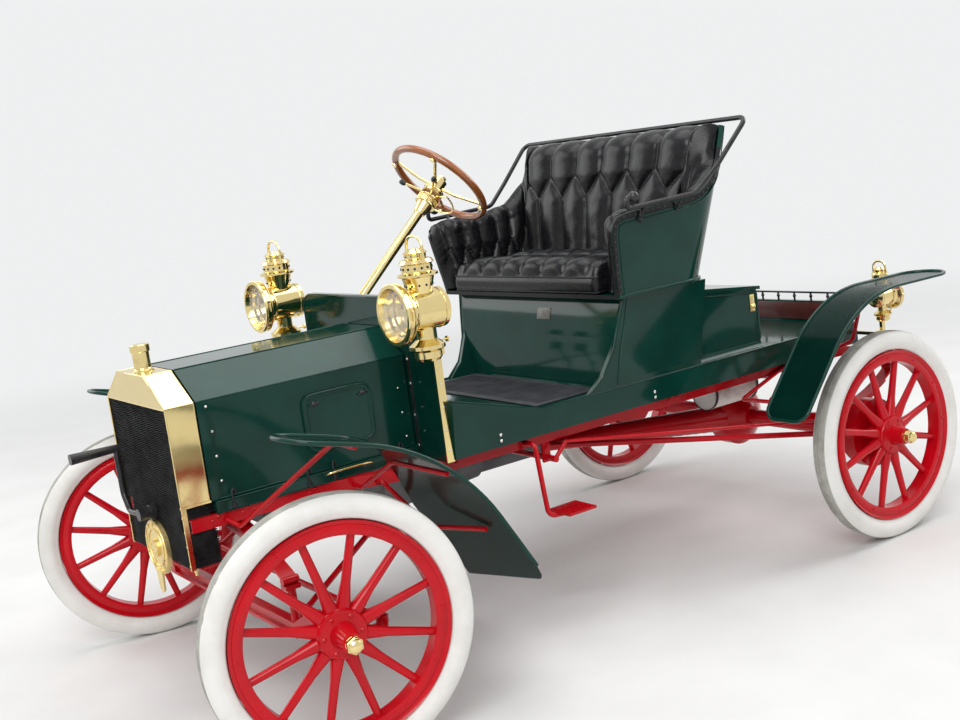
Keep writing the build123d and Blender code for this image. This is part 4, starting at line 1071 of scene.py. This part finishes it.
# Leather buttons: covered moulds drawn down on twine in two staggered rows,
# where the pleats of the back and the arms meet.
tufts = bmesh.new()
mould = [(-0.004, 0.0095), (0.0, 0.0105), (0.0028, 0.0085), (0.0042, 0.0045)]
corner_end = back_pleats + corner_pleats
for k in range(-18, 19):
    number = abs(k / 2)
    if number <= back_pleats:
        part = number / back_pleats
    elif number <= corner_end:
        part = 1 + (number - back_pleats) / corner_pleats
    else:
        part = 2 + (number - corner_end) / arm_pleats
    q = math.copysign(part, k)
    edge, thick, upper, lower, depth, back = band_frame(q)
    z = upper if k % 2 == 0 else lower
    if z >= 1.12 and abs(q) <= 2.94:
        spot, inward = shell_inside(q, z)
        spot += inward * (thick - depth + 0.002) + car(0, 0, 0)
        add(tufts, knob(mould, 18, 0.0046), aim(spot, inward + Vector((0, 0, 0.15))))
piece("leather_buttons", tufts, leather)


# Seat cushion: a loose sprung box cushion, buttoned on top, with a plain
# front border between two welts.
cushion_half, cushion_round, cushion_foot = 0.400, 0.022, 0.9935
cushion_middle = Vector((1.334, 1.044))
cushion_section = [
    (1.186, cushion_foot), (1.186, 1.050), (1.216, 1.094), (1.482, 1.094), (1.482, cushion_foot),
]
cushion_line = rounded(cushion_section, 0.018, 6)
cushion_line.append(cushion_line[0])
cushion_girth = sum((b - a).length for a, b in zip(cushion_line, cushion_line[1:]))
pleat_width, row_front, row_step = 0.114, 1.268, 0.105


def at_length(route, length):
    """The point at a length along a route."""
    for first, second in zip(route, route[1:]):
        span = (second - first).length
        if length <= span:
            return first.lerp(second, length / span)
        length -= span
    return route[-1].copy()


def cushion_point(u, v):
    """A point of the closed cushion, u across the car and v round its section."""
    spot = at_length(cushion_line, v % 1.0 * cushion_girth)
    x = (u * 2 - 1) * cushion_half
    room = cushion_half - abs(x)
    inset = cushion_round * (1 - math.sqrt(1 - (1 - min(room / cushion_round, 1.0)) ** 2))
    y = spot.x + math.copysign(inset, cushion_middle.x - spot.x)
    z = spot.y + math.copysign(inset, cushion_middle.y - spot.y)
    on_top = smooth(z, 1.048, 1.074) * (1 - smooth(y, 1.44, 1.48))
    puff = pillow(x / pleat_width, clamp((y - row_front) / row_step))
    hollow = 0.021 * (1 - puff) * on_top * (0.25 + 0.75 * smooth(room, 0.0, 0.05))
    crown = 0.016 * on_top * (1 - (x / 0.41) ** 4)
    border = 0.004 * math.sin(clamp((z - cushion_foot) / 0.052) * math.pi) if y < 1.20 else 0.0
    flat = Vector((x, y - border, z))
    rise = crown + noise.noise(flat * 19.0) * 0.0018 * on_top - hollow
    lean = 0.7 * (1 - smooth(y, 1.19, 1.25))
    return flat + Vector((0, -lean, 1)) * rise, (hollow if on_top > 0.02 else -1.0)


cushion = padding("tufted_cushion", 190, 110, cushion_point, 0.014)
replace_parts(cushion, "seat_cushion")
cushion_trim = bmesh.new()
half_welt = [(0.386, 1.1865), (0.397, 1.200), (0.394, 1.300)]
for z in (1.0480, 1.0000):
    route = [(-x, y, z) for x, y in reversed(half_welt)] + [(x, y, z) for x, y in half_welt]
    add(cushion_trim, bar(line(route), 0.0030, smooth=False))
for k in range(-6, 7):
    spot = car(pleat_width * k / 2, row_front + row_step * (k % 2), 1.089)
    add(cushion_trim, knob(mould, 18, 0.0046), aim(spot, (0, 0, 1)))
piece("cushion_welts", cushion_trim, leather)


# Seat panels: steamed boards painted green, bent round the back's corners and
# swept up from the arms, glued and screwed to the seat's floor.
def skin(shape, rows, closed=False):
    """Faces between neighbouring rows of points."""
    for before, after in zip(rows, rows[1:]):
        for k in range(len(before) - (not closed)):
            onward = (k + 1) % len(before)
            shape.faces.new((before[k], after[k], after[onward], before[onward]))


panel_steps, level_steps, panel_out = 96, 24, 0.014
seat_wall = bmesh.new()
columns = []
for k in range(panel_steps + 1):
    q = -3 + 6 * k / panel_steps
    columns.append([])
    for step in range(level_steps + 1):
        z = seat_base + (edge_height(q) - seat_base) * step / level_steps
        spot, inward = shell_inside(q, z)
        columns[-1].append(seat_wall.verts.new(spot - inward * panel_out + car(0, 0, 0)))
skin(seat_wall, columns)
seat_wall.faces.new([column[0] for column in reversed(columns)])
bmesh.ops.recalc_face_normals(seat_wall, faces=seat_wall.faces)
bmesh.ops.solidify(seat_wall, geom=list(seat_wall.faces), thickness=0.0138)
panels = piece("seat_panels", seat_wall, green_paint, sharp=40.0)
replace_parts(panels, "seat_shell")
panels.data.materials.append(leather)
for polygon in panels.data.polygons:
    faces, spot = polygon.normal, polygon.center
    top = faces.z > 0.4 and spot.z > 1.05
    front = faces.y < -0.5 and abs(faces.x) < 0.6 and spot.y < axle_y + 1.30
    polygon.material_index = int(top or front)


# Seat trim: the leather is turned over the shell's edge under a nailed band,
# and a painted bead runs round the panel inside it and along the seat's foot.
def shell_outside(y, z, way, lift=0.0):
    """A point on the shell's outer face, and the way outwards there."""
    t = (z - seat_base) / (seat_top - seat_base)
    half, rear, radius = 0.480 + side_flare * t, 1.612 + back_flare * t, 0.110
    turn = min(max(y - (rear - radius), 0.0), radius * 0.999)
    across = math.sqrt(radius ** 2 - turn ** 2)
    outward = Vector((way * across / radius, turn / radius, 0))
    return car(way * (half - radius + across), y, z) + outward * lift, outward


def tangent(points, k):
    """The way a route runs at its point k."""
    return (points[min(k + 1, len(points) - 1)] - points[max(k - 1, 0)]).normalized()


def inset_line(inset):
    """The arm's edge line moved into the panel, resampled evenly."""
    lower = [(1.2005, 0.984), (1.1885, 1.060), (1.1775, 1.150), (1.1765, 1.182)]
    points = [Vector(p) for p in lower + arm_top[1:]]
    ways = [tangent(points, k) for k in range(len(points))]
    moved = [point + Vector((way.y, -way.x)) * inset for point, way in zip(points, ways)]
    even = []
    for first, second in zip(moved, moved[1:]):
        steps = max(1, round((second - first).length / 0.008))
        even += [first.lerp(second, k / steps) for k in range(steps)]
    return even + [moved[-1]]


def ribbon(points, normals, width=0.017, thick=0.0026):
    """A flat strip that follows points, square to the normals."""
    shape = bmesh.new()
    rows = []
    for k, (point, normal) in enumerate(zip(points, normals)):
        across = tangent(points, k).cross(normal).normalized() * width / 2
        section = [(-1, 0), (-0.8, thick), (0.8, thick), (1, 0)]
        rows.append([shape.verts.new(point + across * x + normal * z) for x, z in section])
    skin(shape, rows, closed=True)
    shape.faces.new(rows[0])
    shape.faces.new(reversed(rows[-1]))
    return shape


gimp, nails, seat_beads = bmesh.new(), bmesh.new(), bmesh.new()
nail = [(-0.001, 0.0036), (0.0010, 0.0033), (0.0022, 0.0018)]
for way in (-1, 1):
    pairs = [shell_outside(p.x, p.y, way, 0.0003) for p in inset_line(0.010)]
    add(gimp, ribbon(*zip(*pairs)))
    for spot, out in pairs[1::3]:
        add(nails, knob(nail, 10, 0.0026), aim(spot + out * 0.0024, out))
    bead = [shell_outside(p.x, p.y, way, 0.0006)[0] for p in inset_line(0.030)]
    add(seat_beads, bar(bead, 0.0028, smooth=False))
back_out = Vector((0, 1, -0.22))
back_row = [car(x / 20 * 0.470, 1.7208, 1.451) for x in range(-20, 21)]
add(gimp, ribbon(back_row, [back_out.normalized()] * len(back_row)))
for spot in back_row:
    add(nails, knob(nail, 10, 0.0026), aim(spot + Vector((0, 0.0026, 0)), back_out))
foot_marks = [1.202, 1.300, 1.400, 1.490, 1.510, 1.530, 1.550, 1.570, 1.590, 1.605, 1.611]
foot = [shell_outside(y, 0.986, 1, 0.001)[0] for y in foot_marks]
foot += [Vector((-spot.x, spot.y, spot.z)) for spot in reversed(foot)]
add(seat_beads, bar(foot, 0.0058, smooth=False))
piece("leather_gimp", gimp, leather)
piece("gimp_nails", nails, iron_black)
piece("seat_beads", seat_beads, green_paint)


# Arm iron: a forged black rail round the seat's top with ball ends, held by
# small brackets and knobs on the panels.
soften("arm_iron", iron_black, 40.0)
knobs = bmesh.new()
iron_knob = [(0.0, 0.0095), (0.004, 0.0095), (0.007, 0.0075), (0.011, 0.007), (0.014, 0.0045)]
for way in (-1, 1):
    add(knobs, knob(iron_knob, 20, 0.015), aim(*shell_outside(1.286, 1.214, way)))
    strap_at = put(way * 0.5335, 1.286, 1.2390) @ turned(way * 20, "Y")
    add(knobs, block((0.005, 0.012, 0.044), 0.0015), strap_at)
piece("iron_knobs", knobs, iron_black)


# Lamps: spun brass oil lamps with a bright dished reflector, a bevelled lens,
# vent holes round the chimney drawn as black discs of painted shade, a wick knob on the fount and a
# hinged bezel.
def hoop(start, radius, thick, steps, sides=8):
    """A ring of round wire about X."""
    points = circle(sides, 0.0, thick)
    section = [(start + p.y, radius + p.z) for p in points]
    return lathe(section + section[:1], steps)


soften("lamps", brass, 30.0)
lens, shader, at = finish("clear_lens", roughness=0.03)
shader.inputs["Alpha"].default_value = 0.22
cloud = at.noise(14.0, 3.0).over(0.3, 0.7)
cloud.mix((0.80, 0.84, 0.82), (0.90, 0.93, 0.91)).into(shader, "Base Color")
lens.surface_render_method = "BLENDED"
soften("lamp_glasses", lens, 25.0)
mirror_brass = brass_finish("lamp_mirror", 0.03, 0.2)
dishes, burners, lamp_trim, vent_shade_discs = bmesh.new(), bmesh.new(), bmesh.new(), bmesh.new()
dish = [
    # x, radius: down the bright face to the bottom, and up behind it
    (0.0760, 0.066), (0.060, 0.0615), (0.042, 0.052), (0.028, 0.038), (0.020, 0.020),
    (0.018, 0.004), (0.0165, 0.0), (0.0150, 0.0), (0.018, 0.024), (0.026, 0.040),
    (0.040, 0.0545), (0.058, 0.0640), (0.0760, 0.0675), (0.0760, 0.066),
]
flame = [(0.018, 0.008), (0.040, 0.0055), (0.052, 0.008), (0.058, 0.008)]
latch = [(-0.004, 0.0065), (0.008, 0.0065), (0.010, 0.004)]
wick_knob = [(0.030, 0.0022), (0.066, 0.0022), (0.066, 0.0085), (0.071, 0.0085)]
vent_rows = [
    # height, radius, size of the holes, holes
    (0.214, 0.0405, 0.0036, 12), (0.2620, 0.0443, 0.0040, 14), (0.2955, 0.0302, 0.0024, 10),
]
lamp_spots = [
    # place of the lamp's foot, size, way it faces
    ((0.446, 0.516, 0.925), 1.0, -1), ((-0.446, 0.516, 0.925), 1.0, -1),
    ((0.500, 2.425, 0.690), 0.62, 1),
]
for foot_spot, scale, facing in lamp_spots:
    base = car(*foot_spot)
    eye = aim(base + Vector((0, 0, 0.143 * scale)), (0, facing, 0)) @ Matrix.Scale(scale, 4)
    upright = aim(base, (0, 0, 1)) @ Matrix.Scale(scale, 4)
    add(dishes, lathe(dish, 48), eye)
    add(burners, knob(flame, 20), eye)
    add(lamp_trim, hoop(0.0925, 0.0865, 0.0022, 64, 10), eye)
    add(lamp_trim, hoop(0.0735, 0.0845, 0.0016, 64, 10), eye)
    for start in (-0.045, 0.045):
        add(lamp_trim, hoop(start, 0.0568, 0.0018, 56), eye)
    hinge = knob([(-0.014, 0.0042), (0.014, 0.0042)], 12)
    add(lamp_trim, hinge, eye @ shift(0.082, 0.086, 0.0) @ turned(90, "Y"))
    add(lamp_trim, knob(latch, 14), eye @ shift(0.076, -0.088, 0.0))
    add(lamp_trim, knob(wick_knob, 18), upright @ shift(0.048, 0, 0) @ turned(90, "Z"))
    # Vent holes: not cut. Each is a thin matt black disc on the chimney, painted shade for the dark
    # inside seen through the hole.
    for level, radius, size, count in vent_rows:
        for spot in circle(count, level, radius):
            shade_disc = knob([(-0.001, size), (0.0012, size * 0.9)], 8)
            add(vent_shade_discs, shade_disc, upright @ aim(spot, (0, spot.y, spot.z)))
piece("lamp_reflectors", dishes, mirror_brass, sharp=60.0)
piece("lamp_burners", burners, dull_brass)
piece("lamp_trim", lamp_trim, brass)
piece("lamp_vent_shade_discs", vent_shade_discs, fin_black_and_vent_shade)


# Steering: a polished brass mast with a geared head, two levers on a toothed
# quadrant, a brass spider and a steam-bent rim in varnished wood.
soften("steering_column", brass, 30.0)
soften("hand_wheel_spider", brass, 35.0)
tilt = math.radians(42.5)
mast = Vector((0, math.cos(tilt), math.sin(tilt)))
mast_side = Vector((0, math.sin(tilt), -math.cos(tilt)))
hub = car(-0.262, 1.088, 0.590 + math.tan(tilt) * 0.874)
rim_wood, shader, at = finish("varnished_rim", roughness=0.2, coat=0.6)
offset = at.vector("SUBTRACT", hub, out=0)
across, down, lift = (offset.vector("DOT_PRODUCT", way) for way in ((1, 0, 0), mast_side, mast))
angle = across.sum("ARCTAN2", across, down)
reach = across.sum("SQRT", across * across + down * down)
grain_values = {0: angle * 3.0, 1: reach * 420.0, 2: lift * 420.0}
figure = at.node("ShaderNodeCombineXYZ", {}, grain_values).noise(1.0, 4.0, 0.6)
figure.over(0.30, 0.72).mix((0.42, 0.13, 0.026), (0.20, 0.048, 0.010)).into(shader, "Base Color")
(0.14 + 0.16 * at.noise(40.0, 3.0)).into(shader, "Roughness")
figure.bump(0.1, 0.0006).into(shader, "Normal")
soften("hand_wheel_rim", rim_wood, 60.0)
head = aim(hub, mast)


def quadrant(degrees, radius):
    """A point in the plane of the levers' toothed quadrant."""
    a = math.radians(degrees)
    return Vector((-0.058, radius * math.cos(a), -radius * math.sin(a)))


mast_trim = bmesh.new()
for spot in circle(44, 0.0, 0.0360):
    add(mast_trim, knob([(-0.088, 0.0016), (-0.072, 0.0016)], 6), head @ shift(*spot))
for start in (-0.094, -0.068, -0.036):
    add(mast_trim, hoop(start, 0.0362, 0.0024, 48), head)
for k in range(25):
    degrees = 10 + 160 * k / 24
    tooth_at = head @ shift(*quadrant(degrees, 0.094)) @ turned(-degrees, "X")
    add(mast_trim, block((0.003, 0.0022, 0.005), 0.0004), tooth_at)
quadrant_arc = [quadrant(8 + 164 * k / 30, 0.091) for k in range(31)]
add(mast_trim, bar([head @ spot for spot in quadrant_arc], 0.0032, smooth=False))
for degrees in (8, 172):
    ends = [head @ quadrant(degrees, radius) for radius in (0.030, 0.091)]
    add(mast_trim, bar(ends, 0.0034, smooth=False))
piece("mast_trim", mast_trim, brass)
lever_grips = bmesh.new()
grip = [
    (-0.012, 0.0), (-0.010, 0.006), (-0.004, 0.0092), (0.004, 0.0096), (0.012, 0.0075),
    (0.016, 0.0035), (0.0165, 0.0),
]
for degrees in (35, 145):
    a = math.radians(degrees)
    toward = Vector((math.cos(a), 0, 0)) - mast_side * math.sin(a)
    add(lever_grips, lathe(grip, 20), aim(hub - mast * 0.050 + toward * 0.120, toward))
piece("lever_grips", lever_grips, iron_black)
spider_bolts = bmesh.new()
for spot in circle(4, -0.004, 0.174, 45):
    add(spider_bolts, knob([(-0.014, 0.009), (-0.010, 0.010)], 18), aim(head @ spot, mast))
add(spider_bolts, knob([(0.019, 0.0165), (0.024, 0.0160), (0.027, 0.012)], 6, 0.0275), head)
piece("spider_bolts", spider_bolts, brass, "hand_wheel", sharp=28.0)


# Pedals: two forged arms through the toe board, each with a ribbed iron plate
# pinned across its top.
foot_pedals = bmesh.new()
collar = [(0.0, 0.014), (0.003, 0.014), (0.004, 0.012)]
for x in (-0.334, -0.190):
    arm_foot = put(x, 0.800, 0.7220) @ turned(-15.94, "X")
    add(foot_pedals, bar([(0, 0, -0.002), (0, 0.020, 0.096)], 0.006, smooth=False), arm_foot)
    add(foot_pedals, knob(collar, 24), arm_foot @ aim((0, 0, 0), (0, 0, 1)))
    plate_at = arm_foot @ shift(0, 0.022, 0.104) @ turned(-62, "X")
    add(foot_pedals, block((0.066, 0.050, 0.006), 0.0015), plate_at)
    for k in (-1, 0, 1):
        rib_at = plate_at @ shift(0, 0.015 * k, 0.004)
        add(foot_pedals, block((0.060, 0.004, 0.003), 0.0008), rib_at)
piece("foot_pedals", foot_pedals, iron_black)


# Starting crank and timing cover: a forged black crank with a turned grip, and
# a cast bronze cover held by a ring of bolts over the radiator's foot.
soften("starting_crank", iron_black, 40.0)
soften("drive_cover", bronze, 30.0)
cover = bmesh.new()
face, nose = on_front(0, -0.1980, 0.495), on_front(0, -0.206, 0.495)
for spot in circle(10, 0.0, 0.068, 90):
    add(cover, bolt_head(0.010, 0.0045), face @ shift(*spot))
for start, radius in ((0.001, 0.0755), (0.0012, 0.054)):
    add(cover, hoop(start, radius, 0.0022, 56), face)
for spot in circle(6, 0.0, 0.019, 90):
    add(cover, bolt_head(0.007, 0.003), nose @ shift(*spot))
piece("cover_bolts", cover, bronze)


# Fenders: beaten sheet with a beaded edge, round at its tip. The front one runs
# down into a wide apron that closes the gap to the frame behind the wheel.
def eased(points, radii):
    """A route whose inner corners are turned into arcs of the given radii."""
    points = [Vector(point) for point in points]
    route = [points[0]]
    for before, here, after, radius in zip(points, points[1:], points[2:], radii):
        come, leave = (here - before).normalized(), (after - here).normalized()
        turn = come.angle(leave)
        inward = (leave - come * math.cos(turn)).normalized()
        start = here - come * radius * math.tan(turn / 2)
        for k in range(13):
            a = turn * k / 12
            arc_point = start + come * radius * math.sin(a)
            route.append(arc_point + inward * radius * (1 - math.cos(a)))
    return route + [points[-1]]


sheet_steps, apron_fall, apron_front = 40, 0.8633, 0.236


def fender(route, inner, outer, tip, toe, low_edge):
    """One side's sheet and its beads, with corner radii tip and toe at its ends.
    apron_fall is the sine of the slope on which low_edge shortens the sheet."""
    whole = sum((second - first).length for first, second in zip(route, route[1:]))
    quarter = [1 - math.cos(math.pi / 20 * k) for k in range(10)]
    marks = [tip * part for part in quarter]
    marks += [tip + (whole - tip - toe) * k / 60 for k in range(61)]
    marks += [whole - toe * part for part in reversed(quarter)] if toe else []
    shape = bmesh.new()
    rows = []
    for mark in marks:
        pull = max(tip - mark, 0.0), max(toe - (whole - mark), 0.0)
        rounds = zip((tip, toe), pull)
        corner = sum(size - math.sqrt(size ** 2 - gap ** 2) for size, gap in rounds)
        x0, x1 = along(inner, at_length(route, mark).z) + corner, outer - corner
        rows.append([])
        for k in range(sheet_steps + 1):
            x = x0 + (x1 - x0) * k / sheet_steps
            lost = max(low_edge(x) - route[-1].z, 0.0) / apron_fall if low_edge else 0.0
            spot = at_length(route, mark * (1 - lost / whole))
            rows[-1].append(shape.verts.new(car(x, spot.y, spot.z)))
    skin(shape, rows)
    ends = [row[0] for row in rows if not low_edge or row[0].co.y < axle_y + apron_front]
    edge = ends[::-1] + rows[0][1:-1] + [row[-1] for row in rows]
    if not low_edge:
        edge += rows[-1][-2:0:-1]
    edge = [vert.co.copy() for vert in edge]
    bmesh.ops.solidify(shape, geom=list(shape.faces), thickness=0.004)
    add(shape, bar(edge, 0.006, closed=not low_edge, smooth=False))
    return shape


def pair(shape):
    """The shape on the left and its mirror image on the right."""
    add(shape, shape.copy(), Matrix.Scale(-1.0, 4, (1, 0, 0)))
    return shape


front_route = eased([(0, -0.0982, 0.8704), (0, 0.331, 0.758), (0, 0.645, 0.2208)], (0.620,))
apron = [
    # height, x of the sheet's inner edge
    (0.2208, 0.300), (0.300, 0.300), (0.478, 0.280), (0.556, 0.309), (0.636, 0.363),
    (0.715, 0.480), (0.800, 0.610),
]


def apron_foot(x):
    """Height of the apron's lower edge, its outer corner rounded off."""
    corner = clamp((x - 0.736) / 0.048)
    return 0.224 + 0.2064 * (x - 0.300) + 0.050 * (1 - math.sqrt(1 - corner ** 2))


front_sheet = fender(front_route, apron, 0.784, 0.085, 0.0, apron_foot)
sheets = piece("front_fender_sheets", pair(front_sheet), green_paint, sharp=50.0)
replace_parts(sheets, "front_fenders")
rear_route = eased([(0, 1.650, 0.512), (0, 1.959, 0.868), (0, 2.468, 0.8656)], (0.450,))
rear_sheet = fender(rear_route, [(0.0, 0.610), (2.0, 0.610)], 0.778, 0.045, 0.082, None)
sheets = piece("rear_fender_sheets", pair(rear_sheet), green_paint, sharp=50.0)
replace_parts(sheets, "rear_fenders")


# Fender irons: round red stays bent up from the frame, their ends close under
# the sheets.
irons = bmesh.new()
iron_routes = [
    # points from the frame outwards on the left, and the radii of the bends
    (((0.2356, -0.071, 0.584), (0.282, -0.052, 0.566), (0.600, 0.077, 0.788),
      (0.650, 0.077, 0.8149), (0.765, 0.077, 0.8149)), (0.02, 0.06, 0.03)),
    (((0.263, 0.320, 0.583), (0.310, 0.318, 0.583), (0.560, 0.287, 0.699),
      (0.765, 0.327, 0.6835)), (0.02, 0.06)),
    (((0.286, 0.380, 0.586), (0.318, 0.380, 0.586), (0.400, 0.465, 0.440),
      (0.668, 0.486, 0.4744)), (0.014, 0.040)),
    (((0.532, 2.134, 0.648), (0.600, 2.129, 0.679), (0.604, 2.168, 0.777),
      (0.650, 2.180, 0.8577), (0.765, 2.180, 0.8577)), (0.025, 0.04, 0.02)),
    (((0.3593, 2.049, 0.590), (0.366, 1.807, 0.518), (0.640, 1.700, 0.5554),
      (0.765, 1.700, 0.5554)), (0.03, 0.06)),
]
for points, radii in iron_routes:
    add(irons, bar(line(eased(points, radii)), 0.007, smooth=False))
made = piece("fender_irons", pair(irons), red_paint, sharp=50.0)
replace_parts(made, "fender_stays")


# Fender rivets: small flat heads through the rear sheets, two on each side,
# where the upper stays are held.
fender_rivets = bmesh.new()
for way in (-1, 1):
    for step in (-0.030, 0.030):
        spot = car(way * (0.705 + step), 2.180, 0.8700)
        add(fender_rivets, knob(nail, 10, 0.0026), aim(spot, (0, 0, 1)))
piece("fender_rivets", fender_rivets, green_paint)


# Step treads: raised ribs rolled into the step plates under the red paint,
# seven on each side.
treads = bmesh.new()
for way in (-1, 1):
    for k in range(7):
        rib_at = put(way * 0.4375, 0.9225 + k * 0.013, 0.3708)
        add(treads, block((0.090, 0.0045, 0.0030), 0.001), rib_at)
piece("step_treads", treads, red_paint)
